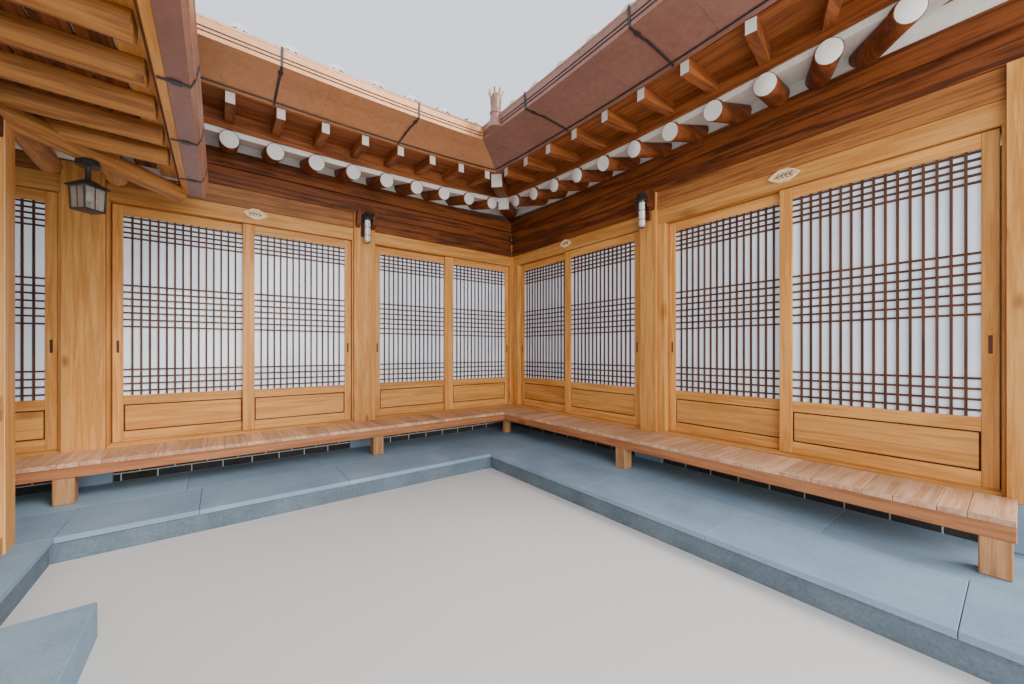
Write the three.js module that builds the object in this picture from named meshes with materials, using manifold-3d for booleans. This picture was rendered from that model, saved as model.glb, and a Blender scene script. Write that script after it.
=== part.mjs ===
// Courtyard hanok: a U-shaped timber house round a small yard.
// Millimetres, +Z up. The origin is the inner corner of the two main door walls, at yard level.
// The back wing runs toward -X behind its wall at y = 0, and the right wing toward -Y behind its wall
// at x = 0. The lower left wing faces the yard from x = LEFT_WALL_X.
// In each wing s is the distance along the wall, w the distance out from the wall toward the yard.
import * as THREE from 'three';
import { mergeVertices } from 'three/addons/utils/BufferGeometryUtils.js';
import Module from 'manifold-3d';

const wasm = await Module();
wasm.setup();

// Levels above the yard
const PLATFORM_TOP = 145;
const PLATFORM_LIP = 32;
const SILL_BOTTOM = 400;
const SILL_TOP = 430;
const RAIL_TOP = 440;
const MARU_TOP = 420;
const LATTICE_BOTTOM = 810;
const LATTICE_TOP = 2250;
const LEAF_TOP = 2330;
const HEAD_BOTTOM = 2336;
const LINTEL_BOTTOM = 2465;
const BEAM_BOTTOM = 2630;
const PURLIN_BOTTOM = 2790;
const PURLIN_TOP = 2935;

// Plan of the main wings
const WING_DEPTH = 3000;
const WALL = 150;
const BACK_LENGTH = 6250;
const RIGHT_LENGTH = 4400;
const RIGHT_WALL_FACE = 4250;
const SIDE_WALL_FACE = BACK_LENGTH - 200;
const COLUMN_FACE = 30;
const YARD_PLATFORM = 1080;
const OUTER_PLATFORM = 300;
const MARU_FRONT = 450;
const MARU_BACK = 35;

// Sliding leaves
const LEAF_THICK = 32;
const STILE = 62;
const OUTER_TRACK = -20;
const INNER_TRACK = -60;
const PANE = 10;
const LEAF_PLAY = 6;
const GAP = 0.3;

// Round rafters: end centre at RAFTER_END, rising inward
const RAFTER_END = { w: 500, z: 2875 };
const RAFTER_SLOPE = 0.296;
const RAFTER_RADIUS = 70;
const RAFTER_TAIL_W = -1400;
const RAFTER_PITCH = { back: 312, right: 320 };
const FIRST_RAFTER = { back: 670, right: 730 };
const LAST_RAFTER = { back: 6100, right: 3940 };
const FLYING_END = { w: 870, z: 3010 };
const FLYING_ROOT = { w: 380, z: 3058 };
const FLYING_WIDTH = 62;
const FLYING_HEIGHT = 85;

// Roof of the main wings: runs measured flat from the eave edge to the ridge
const RIDGE_W = -1500;
const YARD_EAVE_W = 1280;
const OUTER_EAVE = 650;
const EAVE_TILE_Z = 3190;
const ROOF_RISE = 1350;
const ROOF_HOLLOW = 0.28;
const OUTER_UNDERSIDE_Z = 3095;
const ROOF_PEAK_UNDERSIDE_Z = 3560;
const GUTTER_FRONT_W = 1340;

// The left wing
const LEFT_WALL_X = -4100;
const LEFT_START = 1060;
const LEFT_END = 5300;
const LEFT_DEPTH = 2150;
const LEFT_WALL = 120;
const LEFT_EAVE_W = 730;
const LEFT_ROOF_START = 430;
const LEFT_ROOF_END = 5800;
const LEFT_OUTER_EAVE = 500;
const LEFT_EAVE_Z = 2500;
const LEFT_RISE = 800;
const LEFT_WALL_TOP = 2608;

// Wood, stone, plaster, sheet and tile colours
const paint = (color, roughness, metalness = 0) =>
  new THREE.MeshStandardMaterial({ color, roughness, metalness });
const HONEY = paint(0xc98a45, 0.55);
const DARK_WOOD = paint(0x7a3d20, 0.6);
const CEDAR = paint(0xb87a52, 0.6);
const STONE = paint(0x7f93a0, 0.85);
const BRICK = paint(0x1b1b1d, 0.8);
const PLASTER = paint(0xe9e9e4, 0.9);
const COPPER = paint(0x9a6248, 0.45, 0.6);
const TILE = paint(0x4a4d50, 0.8);
const LAMP = paint(0x222226, 0.4, 0.7);
const PAPER = paint(0xdfe8ea, 0.7);

const group = new THREE.Group();

// Each wing places its (s, w) in the house.
const BACK = { place: (s, w) => [-s, -w] };
const RIGHT = { place: (s, w) => [-w, -s] };
const LEFT = { place: (s, w) => [LEFT_WALL_X + w, -s] };

// The yard eaves sag a little in the middle and rise at the corners, as hanok eaves do.
function eaveLift(x, y) {
  const s = Math.max(-x, -y);
  const w = Math.min(-x, -y);
  const weight = THREE.MathUtils.clamp((w - RAFTER_TAIL_W) / (RAFTER_END.w - RAFTER_TAIL_W), 0, 1);
  const middle = 2700;
  const bow = s < middle || -y > -x ? 137 * (1 - s / middle) ** 2 : 91 * ((s - middle) / 4200) ** 2;
  return (bow - 45) * weight;
}

// Turns a closed geometry into a solid, after moving its points. Faces that the move mirrored are
// turned round again.
function solid(geometry, move = (p) => p) {
  geometry.deleteAttribute('normal');
  geometry.deleteAttribute('uv');
  const merged = mergeVertices(geometry, 1e-4);
  const position = merged.attributes.position;
  const point = new THREE.Vector3();
  for (let i = 0; i < position.count; i += 1) {
    point.fromBufferAttribute(position, i);
    move(point);
    position.setXYZ(i, point.x, point.y, point.z);
  }
  const vertProperties = Float32Array.from(position.array);
  const triVerts = Uint32Array.from(merged.index.array);
  const shape = new wasm.Manifold(new wasm.Mesh({ numProp: 3, vertProperties, triVerts }));
  if (shape.volume() > 0) {
    return shape;
  }
  for (let i = 0; i < triVerts.length; i += 3) {
    [triVerts[i + 1], triVerts[i + 2]] = [triVerts[i + 2], triVerts[i + 1]];
  }
  return new wasm.Manifold(new wasm.Mesh({ numProp: 3, vertProperties, triVerts }));
}

// A plain box in house coordinates.
function box(x0, x1, y0, y1, z0, z1) {
  const geometry = new THREE.BoxGeometry(x1 - x0, y1 - y0, z1 - z0);
  geometry.translate((x0 + x1) / 2, (y0 + y1) / 2, (z0 + z1) / 2);
  return solid(geometry);
}

// A plain box in a wing's own coordinates.
function wingBox(wing, s0, s1, w0, w1, z0, z1) {
  const [xa, ya] = wing.place(s0, w0);
  const [xb, yb] = wing.place(s1, w1);
  return box(Math.min(xa, xb), Math.max(xa, xb), Math.min(ya, yb), Math.max(ya, yb), z0, z1);
}

// A section of [w, z] points carried along a wing, its ends mitred by start(w) and end(w).
function sweep(wing, section, start, end, { steps = 1, lifted = false } = {}) {
  const shape = new THREE.Shape(section.map(([w, z]) => new THREE.Vector2(w, z)));
  const geometry = new THREE.ExtrudeGeometry(shape, { depth: 1, steps, bevelEnabled: false });
  const move = (p) => {
    const s = start(p.x) + (end(p.x) - start(p.x)) * p.z;
    const z = p.y;
    const [x, y] = wing.place(s, p.x);
    p.set(x, y, lifted ? z + eaveLift(x, y) : z);
  };
  return solid(geometry, move);
}

// A round pole between two points, in house coordinates.
function pole(from, to, radiusFrom, radiusTo, sides = 10) {
  const a = new THREE.Vector3(...from);
  const b = new THREE.Vector3(...to);
  const along = b.clone().sub(a);
  const geometry = new THREE.CylinderGeometry(radiusTo, radiusFrom, along.length(), sides);
  const turn = new THREE.Quaternion().setFromUnitVectors(
    new THREE.Vector3(0, 1, 0),
    along.clone().normalize(),
  );
  const middle = a.clone().add(b).multiplyScalar(0.5);
  return solid(geometry, (p) => p.applyQuaternion(turn).add(middle));
}

// A squared timber between two points, upright, with its own size at each end.
function timber(from, to, [widthFrom, heightFrom], [widthTo, heightTo]) {
  const a = new THREE.Vector3(...from);
  const b = new THREE.Vector3(...to);
  const side = new THREE.Vector3(b.y - a.y, a.x - b.x, 0).normalize();
  const up = new THREE.Vector3(0, 0, 1);
  const geometry = new THREE.BoxGeometry(1, 1, 1);
  const move = (p) => {
    const t = p.y + 0.5;
    const width = THREE.MathUtils.lerp(widthFrom, widthTo, t);
    const height = THREE.MathUtils.lerp(heightFrom, heightTo, t);
    const centre = a.clone().lerp(b, t);
    centre.addScaledVector(side, p.x * width).addScaledVector(up, p.z * height);
    p.copy(centre);
  };
  return solid(geometry, move);
}

// Joins parts into one solid.
function join(parts) {
  const whole = wasm.Manifold.union(parts);
  whole.numTri();
  return whole;
}

// Cuts out the room that its neighbours need.
function without(piece, ...rooms) {
  const cut = wasm.Manifold.difference([piece, ...rooms]);
  cut.numTri();
  return cut;
}

function add(name, shape, material) {
  const { numProp, vertProperties, triVerts } = shape.getMesh();
  const position = new Float32Array((vertProperties.length / numProp) * 3);
  for (let i = 0; i < position.length / 3; i += 1) {
    position.set(vertProperties.subarray(i * numProp, i * numProp + 3), i * 3);
  }
  const geometry = new THREE.BufferGeometry();
  geometry.setAttribute('position', new THREE.BufferAttribute(position, 3));
  geometry.setIndex(new THREE.BufferAttribute(Uint32Array.from(triVerts), 1));
  geometry.computeVertexNormals();
  const mesh = new THREE.Mesh(geometry, material);
  mesh.name = name;
  group.add(mesh);
}

// Stone platform: earth faced with granite, a thin coping stone over a set-back riser on the yard side.
const COPING_OVERHANG = 12;
const FAR_X = WING_DEPTH + OUTER_PLATFORM;
const FAR_SOUTH = -(RIGHT_LENGTH + OUTER_PLATFORM);
const WEST_X = -(BACK_LENGTH + OUTER_PLATFORM);
const LEFT_PLATFORM_X = -3950;
const LEFT_STEP = { edgeX: -3620, from: -1990, to: -3250 };
const LEFT_SOUTH = -(LEFT_END + OUTER_PLATFORM);
const COPING_BOTTOM = PLATFORM_TOP - PLATFORM_LIP;

function platform(name, [x0, x1, y0, y1], east, south, west, steps = []) {
  const riser = box(
    x0 + west * COPING_OVERHANG,
    x1 - east * COPING_OVERHANG,
    y0 + south * COPING_OVERHANG,
    y1,
    0,
    COPING_BOTTOM + 1,
  );
  const coping = box(x0, x1, y0, y1, COPING_BOTTOM, PLATFORM_TOP);
  add(name, join([riser, coping, ...steps]), STONE);
}
platform('platform_back', [WEST_X, FAR_X, -YARD_PLATFORM, FAR_X], 0, 1, 0);
platform('platform_right', [-YARD_PLATFORM, FAR_X, FAR_SOUTH, -YARD_PLATFORM - GAP], 0, 0, 1);
const leftStep = box(LEFT_PLATFORM_X - 20, LEFT_STEP.edgeX, LEFT_STEP.to, LEFT_STEP.from, 0, PLATFORM_TOP);
platform('platform_left', [WEST_X, LEFT_PLATFORM_X, LEFT_SOUTH, -YARD_PLATFORM - GAP], 1, 0, 0, [leftStep]);

// Heated floor of each wing: stone flues and clay under a timber deck, level with the door sills.
const IN = WALL + 1;
const OUT = WING_DEPTH - WALL - 1;
const FLOOR_SPLIT_Y = WALL + 1;
add('floor_back', box(1 - SIDE_WALL_FACE, OUT, FLOOR_SPLIT_Y, OUT, PLATFORM_TOP + GAP, SILL_BOTTOM), HONEY);
add('floor_right', box(IN, OUT, 1 - RIGHT_WALL_FACE, FLOOR_SPLIT_Y - GAP, PLATFORM_TOP + GAP, SILL_BOTTOM), HONEY);

// Bays between the columns, by the edges of their lattices: near leaf from..to, far leaf from..to.
const BAYS = [
  { name: 'back_1', wing: BACK, frame: [12, 1885], near: [103, 901], far: [1012, 1801] },
  { name: 'back_2', wing: BACK, frame: [2100, 3925], near: [2183, 2970], far: [3060, 3840] },
  { name: 'back_3', wing: BACK, frame: [4152, SIDE_WALL_FACE], near: [4240, 5045], far: [5135, 5950] },
  { name: 'right_1', wing: RIGHT, frame: [12, 2062], near: [194, 1006], far: [1106, 1968] },
  { name: 'right_2', wing: RIGHT, frame: [2232, 4215], near: [2374, 3199], far: [3278, 4131] },
];

// Brick skirt under the sills: dark bricks, broken by a granite base stone under each column.
const SKIRT_BACK_W = -100;
function skirt(name, wing, start, end, stones) {
  const bricks = wingBox(wing, start, end, SKIRT_BACK_W, 0, PLATFORM_TOP + GAP, SILL_BOTTOM - GAP);
  const bases = stones.map(([from, to]) =>
    wingBox(wing, from, to, -WALL, 28, PLATFORM_TOP + GAP, SILL_BOTTOM - GAP),
  );
  add(name, join([bricks, ...bases]), BRICK);
}
skirt('brick_skirt_back', BACK, -WALL, SIDE_WALL_FACE, [[1845, 2140], [3885, 4192]]);
skirt('brick_skirt_right', RIGHT, GAP, RIGHT_LENGTH, [[2002, 2292], [4160, RIGHT_LENGTH]]);

// Columns: squared pine standing on the base stones, up to the eave beam.
function column(name, wing, from, to) {
  const shape = wingBox(wing, from, to, -WALL, COLUMN_FACE, SILL_BOTTOM, BEAM_BOTTOM - GAP);
  add(name, shape, HONEY);
}
const CORNER = 12;
add('column_corner', box(-CORNER, WALL, -CORNER, WALL, SILL_BOTTOM, BEAM_BOTTOM - GAP), HONEY);
column('column_back_1', BACK, 1885 + GAP, 2100 - GAP);
column('column_back_2', BACK, 3925 + GAP, 4152 - GAP);
column('column_right_1', RIGHT, 2062 + GAP, 2232 - GAP);
column('column_right_2', RIGHT, 4215 + GAP, RIGHT_LENGTH);

// Door frames: sill with two running rails, jambs, head and lintel, a ring round each bay.
// Leaves: a softwood frame round a lattice pane and a lower panel. The right-hand leaf, seen from
// the yard, runs on the outer track, the other on the inner one.
const PANEL = { bottom: 520, top: 735 };
const RAIL = 14;

function leaf(name, wing, [from, to], lattice, track) {
  const shape = wingBox(wing, from, to, track - LEAF_THICK, track, RAIL_TOP + GAP, LEAF_TOP);
  const recess = (LEAF_THICK - PANE) / 2;
  const front = [track - recess, track + 1];
  const back = [track - LEAF_THICK - 1, track - LEAF_THICK + recess];
  const panelFront = [track - 7, track + 1];
  const hollows = [
    wingBox(wing, lattice[0], lattice[1], ...front, LATTICE_BOTTOM, LATTICE_TOP),
    wingBox(wing, lattice[0], lattice[1], ...back, LATTICE_BOTTOM, LATTICE_TOP),
    wingBox(wing, lattice[0], lattice[1], ...panelFront, PANEL.bottom, PANEL.top),
  ];
  add(name, shape.subtract(join(hollows)), HONEY);
}

for (const { name, wing, frame, near, far } of BAYS) {
  const opening = [near[0] - STILE - LEAF_PLAY, far[1] + STILE + LEAF_PLAY];
  const [start, end] = [frame[0] + GAP, frame[1] - GAP];
  const ring = wingBox(wing, start, end, -WALL, 0, SILL_BOTTOM, LINTEL_BOTTOM + 1);
  const hole = wingBox(wing, ...opening, -WALL - 1, 1, SILL_TOP, HEAD_BOTTOM);
  const rails = [OUTER_TRACK, INNER_TRACK].map((track) => {
    const middle = track - LEAF_THICK / 2;
    return wingBox(wing, ...opening, middle - RAIL / 2, middle + RAIL / 2, SILL_TOP - 1, RAIL_TOP);
  });
  const lintel = wingBox(wing, start, end, -130, 12, LINTEL_BOTTOM, BEAM_BOTTOM - GAP);
  add('door_frame_' + name, join([ring.subtract(hole), lintel, ...rails]), HONEY);
  const nearTrack = wing === BACK ? OUTER_TRACK : INNER_TRACK;
  const farTrack = wing === BACK ? INNER_TRACK : OUTER_TRACK;
  leaf('leaf_' + name + '_near', wing, [near[0] - STILE, far[0]], near, nearTrack);
  leaf('leaf_' + name + '_far', wing, [near[1], far[1] + STILE], far, farTrack);
}

// Maru: a cedar bench along the door walls, cross boards over a front beam and a back beam,
// on squared legs and one round stump at the inner corner.
const MARU_BEAM_BOTTOM = 320;
const MARU_BOARD = 30;
const LEG = 100;

function maru(wing, start, end, legs) {
  const bottom = MARU_TOP - MARU_BOARD;
  const deck = wingBox(wing, start, end, MARU_BACK, MARU_FRONT, bottom, MARU_TOP);
  const front = wingBox(wing, start, end, MARU_FRONT - 55, MARU_FRONT, MARU_BEAM_BOTTOM, bottom + 1);
  const back = wingBox(wing, start, end, MARU_BACK, MARU_BACK + 45, MARU_BEAM_BOTTOM + 20, bottom + 1);
  const posts = legs.map((s) =>
    wingBox(wing, s - LEG / 2, s + LEG / 2, MARU_FRONT - LEG - 5, MARU_FRONT - 5, PLATFORM_TOP + GAP, 340),
  );
  return join([deck, front, back, ...posts]);
}
const STUMP = 330;
const stump = pole([-STUMP, -STUMP, PLATFORM_TOP + GAP], [-STUMP, -STUMP, 400], 55, 50, 14);
const maruRight = maru(RIGHT, MARU_BACK, RIGHT_WALL_FACE, [2150, 4190]).add(stump);
add('maru_right', maruRight, CEDAR);
add('maru_back', maru(BACK, MARU_FRONT + GAP, SIDE_WALL_FACE, [1980, 4050, 5990]), CEDAR);

// Eave beam and purlin: long dark timbers over the columns that carry the rafters.
// With play, it is the room that the rafters leave for it.
function eaveBeam(wing, beamFrom, purlinFrom, to, play = 0) {
  const [low, step, high] = [BEAM_BOTTOM - play, PURLIN_BOTTOM - play, PURLIN_TOP + play];
  const beam = wingBox(wing, beamFrom - play, to + play, -120 - play, 15 + play, low, step);
  const purlin = wingBox(wing, purlinFrom - play, to + play, -130 - play, 50 + play, step, high);
  return beam.add(purlin);
}
const BEAM_BACK = [BACK, -WALL, -WALL, SIDE_WALL_FACE];
const BEAM_RIGHT = [RIGHT, 15 + GAP, 50 + GAP, RIGHT_LENGTH];
add('eave_beam_back', eaveBeam(...BEAM_BACK), DARK_WOOD);
add('eave_beam_right', eaveBeam(...BEAM_RIGHT), DARK_WOOD);
const beamRoom = join([eaveBeam(...BEAM_BACK, GAP), eaveBeam(...BEAM_RIGHT, GAP)]);

// Hips and the valley in plan. A yard-side point w from the wall ends at these distances along it.
const HIP_RUN = WING_DEPTH + OUTER_EAVE + RIDGE_W;
const YARD_RUN = YARD_EAVE_W - RIDGE_W;
const BACK_EAVE_END = BACK_LENGTH + OUTER_EAVE;
const RIGHT_EAVE_END = RIGHT_WALL_FACE + OUTER_EAVE;
const hipEnd = (eaveEnd) => (w) => {
  const t = w > RIDGE_W ? (YARD_EAVE_W - w) / YARD_RUN : (w + WING_DEPTH + OUTER_EAVE) / HIP_RUN;
  return eaveEnd - HIP_RUN * t;
};
const valley = (w) => w + GAP;
const centreLine = (w) => RAFTER_END.z + (RAFTER_END.w - w) * RAFTER_SLOPE;

// Valley rafters: two stacked diagonal timbers at the inner corner, the upper one squared.
const diagonal = (d, z) => [-d, -d, z + eaveLift(-d, -d)];
function valleyTimbers(play = 0) {
  const lower = [140 + 2 * play, 165 + 2 * play];
  const upper = [124 + 2 * play, 190 + 2 * play];
  return join([
    timber([900 + play, 900 + play, 3300], diagonal(512 + play, 2900), lower, lower),
    timber([200 + play, 200 + play, 3235], diagonal(790 + play, 3134), upper, upper),
  ]);
}
const valleyRoom = valleyTimbers(GAP);
add('valley_rafter', valleyTimbers(), DARK_WOOD);

// Hip rafter: one diagonal timber from the fan's focus out to the near corner of the right wing.
const FOCUS = { w: -1200, s: 3000 };
const hipPoint = (w, z) => {
  const [x, y] = RIGHT.place(hipEnd(RIGHT_EAVE_END)(w), w);
  return [x, y, z + eaveLift(x, y)];
};
function hipTimber(play = 0) {
  const size = [134 + 2 * play, 180 + 2 * play];
  return timber(hipPoint(-900 - play, 3330), hipPoint(1000 + play, 2985), size, size);
}
const hipRoom = hipTimber(GAP);
add('hip_rafter', without(hipTimber(), beamRoom), DARK_WOOD);

// Round rafters: peeled logs with white ends over the purlin, plastered white between.
// They stand square to the wall, and fan out from a focus near the outer corner.
const PLASTER_DEEP = 60;
const FAN_REACH = 0.68;
const HIP_CLEARANCE = 260;
const INFILL_SHORT = 15;
function rafterEnds(first, pitch, last) {
  const ends = [];
  for (let s = first; s <= last; s += pitch) {
    ends.push(s);
  }
  return ends;
}
const BACK_RAFTERS = rafterEnds(FIRST_RAFTER.back, RAFTER_PITCH.back, LAST_RAFTER.back);
const RIGHT_RAFTERS = rafterEnds(FIRST_RAFTER.right, RAFTER_PITCH.right, LAST_RAFTER.right);

function lifted(wing, s, w, z) {
  const [x, y] = wing.place(s, w);
  return [x, y, z + eaveLift(x, y)];
}

function rafterTail(wing, s, eaveEnd) {
  if (wing === RIGHT && s > FOCUS.s + 100) {
    const tail = THREE.MathUtils.lerp(RAFTER_END.w, FOCUS.w, FAN_REACH);
    return lifted(wing, THREE.MathUtils.lerp(s, FOCUS.s, FAN_REACH), tail, centreLine(tail));
  }
  const hipW = YARD_EAVE_W - (YARD_RUN * (eaveEnd - s)) / HIP_RUN;
  const tailW = Math.max(RAFTER_TAIL_W, hipW + HIP_CLEARANCE);
  return lifted(wing, s, tailW, centreLine(tailW));
}

function roundRafters(wing, ends, eaveEnd) {
  const logs = ends.map((s) =>
    pole(
      lifted(wing, s, RAFTER_END.w, RAFTER_END.z),
      rafterTail(wing, s, eaveEnd),
      RAFTER_RADIUS * 0.97,
      RAFTER_RADIUS * 1.08,
    ),
  );
  const top = (w) => centreLine(w) + RAFTER_RADIUS + 22;
  const edge = RAFTER_END.w - 20;
  const section = [
    [RAFTER_TAIL_W, top(RAFTER_TAIL_W) - PLASTER_DEEP],
    [edge, top(edge) - PLASTER_DEEP],
    [edge, top(edge)],
    [RAFTER_TAIL_W, top(RAFTER_TAIL_W)],
  ];
  const ceilingEnd = hipEnd(eaveEnd - 12);
  const ceiling = sweep(wing, section, valley, ceilingEnd, { steps: 8, lifted: true });
  const band = [[12, PURLIN_TOP + GAP], [40, PURLIN_TOP + GAP], [40, top(40) - 20], [12, top(12) - 20]];
  const infillEnd = (wing === BACK ? SIDE_WALL_FACE : RIGHT_LENGTH) - INFILL_SHORT;
  const infill = sweep(wing, band, (w) => w + 45, () => infillEnd, {
    steps: 8,
    lifted: true,
  });
  return join([ceiling, infill, ...logs]);
}
const timberRoom = join([beamRoom, valleyRoom, hipRoom]);
const raftersBack = roundRafters(BACK, BACK_RAFTERS, BACK_EAVE_END);
const raftersRight = roundRafters(RIGHT, RIGHT_RAFTERS, RIGHT_EAVE_END);
add('rafters_back', without(raftersBack, timberRoom), DARK_WOOD);
add('rafters_right', without(raftersRight, timberRoom), DARK_WOOD);

// Flying rafters: short squared timbers over the round ones, tied by two long eave boards and
// boarded above.
function flyingRafters(wing, ends, eaveEnd) {
  const sticks = ends.filter((s) => s > 900).map((s) => {
    const fan = wing === RIGHT && s > FOCUS.s + 100 ? (s - FOCUS.s) / (RAFTER_END.w - FOCUS.w) : 0;
    const at = (w) => s + fan * (w - RAFTER_END.w);
    return timber(
      lifted(wing, at(FLYING_ROOT.w), FLYING_ROOT.w, FLYING_ROOT.z),
      lifted(wing, at(FLYING_END.w), FLYING_END.w, FLYING_END.z),
      [FLYING_WIDTH, FLYING_HEIGHT],
      [FLYING_WIDTH, FLYING_HEIGHT],
    );
  });
  const topAt = (w) => {
    const t = (w - FLYING_ROOT.w) / (FLYING_END.w - FLYING_ROOT.w);
    return THREE.MathUtils.lerp(FLYING_ROOT.z, FLYING_END.z, t) + FLYING_HEIGHT / 2;
  };
  const edge = FLYING_END.w - 12;
  const boards = [
    [FLYING_ROOT.w, topAt(FLYING_ROOT.w) - 3],
    [432, topAt(432) - 3],
    [432, 2994],
    [484, 2980],
    [484, 2956],
    [498, 2956],
    [498, topAt(498) - 3],
    [edge, topAt(edge) - 3],
    [edge, topAt(edge) + 18],
    [FLYING_ROOT.w, topAt(FLYING_ROOT.w) + 18],
  ];
  const deck = sweep(wing, boards, valley, hipEnd(eaveEnd), { steps: 8, lifted: true });
  return join([deck, ...sticks]);
}
const flyingBack = flyingRafters(BACK, BACK_RAFTERS, BACK_EAVE_END);
const flyingRight = flyingRafters(RIGHT, RIGHT_RAFTERS, RIGHT_EAVE_END);
add('flying_rafters_back', without(flyingBack, valleyRoom), DARK_WOOD);
add('flying_rafters_right', without(flyingRight, valleyRoom, hipRoom), DARK_WOOD);

// Roof: clay and grey tile over the boards. Its top is hollow, steeper toward the ridge.
const roofTop = (t, rise = ROOF_RISE, eave = EAVE_TILE_Z) =>
  eave + rise * ((1 - ROOF_HOLLOW) * t + ROOF_HOLLOW * t * t);
const CURVE_STEPS = 4;
const curve = (from, to, top) => {
  const points = [];
  for (let i = 0; i <= CURVE_STEPS; i += 1) {
    const t = i / CURVE_STEPS;
    points.push([THREE.MathUtils.lerp(from, to, t), top(t)]);
  }
  return points;
};
const OUTER_EDGE_W = -(WING_DEPTH + OUTER_EAVE);
const roofSection = [
  ...curve(YARD_EAVE_W, RIDGE_W, roofTop),
  ...curve(OUTER_EDGE_W, RIDGE_W, roofTop).reverse().slice(1),
  [OUTER_EDGE_W, OUTER_UNDERSIDE_Z],
  [RIDGE_W, ROOF_PEAK_UNDERSIDE_Z + 25],
  [FLYING_ROOT.w - 30, centreLine(FLYING_ROOT.w - 30) + RAFTER_RADIUS + 42],
  [FLYING_ROOT.w - 30, 3130],
  [FLYING_END.w, 3083],
  [YARD_EAVE_W, 3108],
];

// The hipped end: a slope from the end eave up to the end of the ridge, spanning hip to hip.
function hippedEnd(wing, eaveEnd) {
  const section = [
    ...curve(0, HIP_RUN, roofTop),
    [HIP_RUN, ROOF_PEAK_UNDERSIDE_Z],
    [0, OUTER_UNDERSIDE_Z],
  ];
  const shape = new THREE.Shape(section.map(([v, z]) => new THREE.Vector2(v, z)));
  const geometry = new THREE.ExtrudeGeometry(shape, { depth: 1, steps: 8, bevelEnabled: false });
  const move = (p) => {
    const t = p.x / HIP_RUN;
    const yard = YARD_EAVE_W - YARD_RUN * t + 2;
    const outer = OUTER_EDGE_W + HIP_RUN * t - 2;
    const w = THREE.MathUtils.lerp(yard, outer, p.z);
    const z = p.y;
    const [x, y] = wing.place(eaveEnd - p.x, w);
    p.set(x, y, z + eaveLift(x, y));
  };
  return solid(geometry, move);
}

// Outer rafters: plain round logs under the outer eaves, half sunk in the clay.
const OUTER_SLOPE = (ROOF_PEAK_UNDERSIDE_Z - OUTER_UNDERSIDE_Z) / HIP_RUN;
const OUTER_LOG = 58;
function outerLogs(count, spot) {
  const logs = [];
  for (let i = 0; i < count; i += 1) {
    const inner = spot(i, 1050);
    const outer = spot(i, 45);
    const zAt = (d) => OUTER_UNDERSIDE_Z + d * OUTER_SLOPE - 18;
    logs.push(pole([...outer, zAt(45)], [...inner, zAt(1050)], OUTER_LOG, OUTER_LOG, 8));
  }
  return logs;
}
const OUTER_PITCH = 450;
const northLogs = outerLogs(19, (i, d) => [2400 - i * OUTER_PITCH, -OUTER_EDGE_W - d]);
const westLogs = outerLogs(5, (i, d) => [-BACK_EAVE_END + d, 500 + i * OUTER_PITCH]);
const eastLogs = outerLogs(14, (i, d) => [-OUTER_EDGE_W - d, 2400 - i * OUTER_PITCH]);
const southLogs = outerLogs(5, (i, d) => [500 + i * OUTER_PITCH, -RIGHT_EAVE_END + d]);

function roofSlopes(wing, eaveEnd) {
  const slopes = sweep(wing, roofSection, valley, hipEnd(eaveEnd), { steps: 8, lifted: true });
  return slopes.add(hippedEnd(wing, eaveEnd));
}
const slopesBack = roofSlopes(BACK, BACK_EAVE_END);
const slopesRight = roofSlopes(RIGHT, RIGHT_EAVE_END);
add('roof_back', without(join([slopesBack, ...northLogs, ...westLogs]), timberRoom), TILE);
add('roof_right', without(join([slopesRight, ...eastLogs, ...southLogs]), timberRoom), TILE);

// Ridges: tall bars of stacked flat tiles along the ridge lines and down the hips.
const PLAY = 0.9;
const RIDGE_TOP = roofTop(1) + 210;
const RIDGE_WIDTH = 230;
function ridgeLine(from, to, height) {
  const size = [RIDGE_WIDTH, height];
  return timber(from, to, size, size);
}
function hipRidge(corner, peak) {
  const bars = [];
  for (let i = 0; i < 3; i += 1) {
    const a = 0.05 + (i * 0.95) / 3;
    const b = 0.05 + ((i + 1) * 0.95) / 3 + (i < 2 ? 0.02 : 0);
    const at = (t) => {
      const x = THREE.MathUtils.lerp(corner[0], peak[0], t);
      const y = THREE.MathUtils.lerp(corner[1], peak[1], t);
      return [x, y, roofTop(t) + 35 + eaveLift(x, y)];
    };
    bars.push(ridgeLine(at(a), at(b), 190));
  }
  return bars;
}
const ridgeZ = RIDGE_TOP - 170;
const yardCorner = (wing, eaveEnd) => wing.place(eaveEnd, YARD_EAVE_W);
const outerCorner = (wing, eaveEnd) => wing.place(eaveEnd, OUTER_EDGE_W);
function ridges(wing, eaveEnd, startS) {
  const peak = wing.place(eaveEnd - HIP_RUN, RIDGE_W);
  const start = wing.place(startS, RIDGE_W);
  return join([
    ridgeLine([...start, ridgeZ], [...peak, ridgeZ], 340),
    ...hipRidge(yardCorner(wing, eaveEnd), peak),
    ...hipRidge(outerCorner(wing, eaveEnd), peak),
  ]);
}
const northEast = [-OUTER_EDGE_W, -OUTER_EDGE_W];
const ridgeBack = ridges(BACK, BACK_EAVE_END, RIDGE_W - RIDGE_WIDTH / 2).add(
  join(hipRidge(northEast, [-RIDGE_W, -RIDGE_W])),
);
const ridgeShifts = [[0, 0, 0], [PLAY, PLAY, PLAY], [PLAY, -PLAY, PLAY], [-PLAY, PLAY, PLAY], [-PLAY, -PLAY, PLAY]];
const underRidges = [slopesBack, slopesRight].flatMap((slopes) =>
  ridgeShifts.map((shift) => slopes.translate(shift)),
);
add('ridge_back', without(ridgeBack, ...underRidges), TILE);
const ridgeRight = ridges(RIGHT, RIGHT_EAVE_END, RIDGE_W + RIDGE_WIDTH / 2 + GAP);
add('ridge_right', without(ridgeRight, ...underRidges), TILE);

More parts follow.
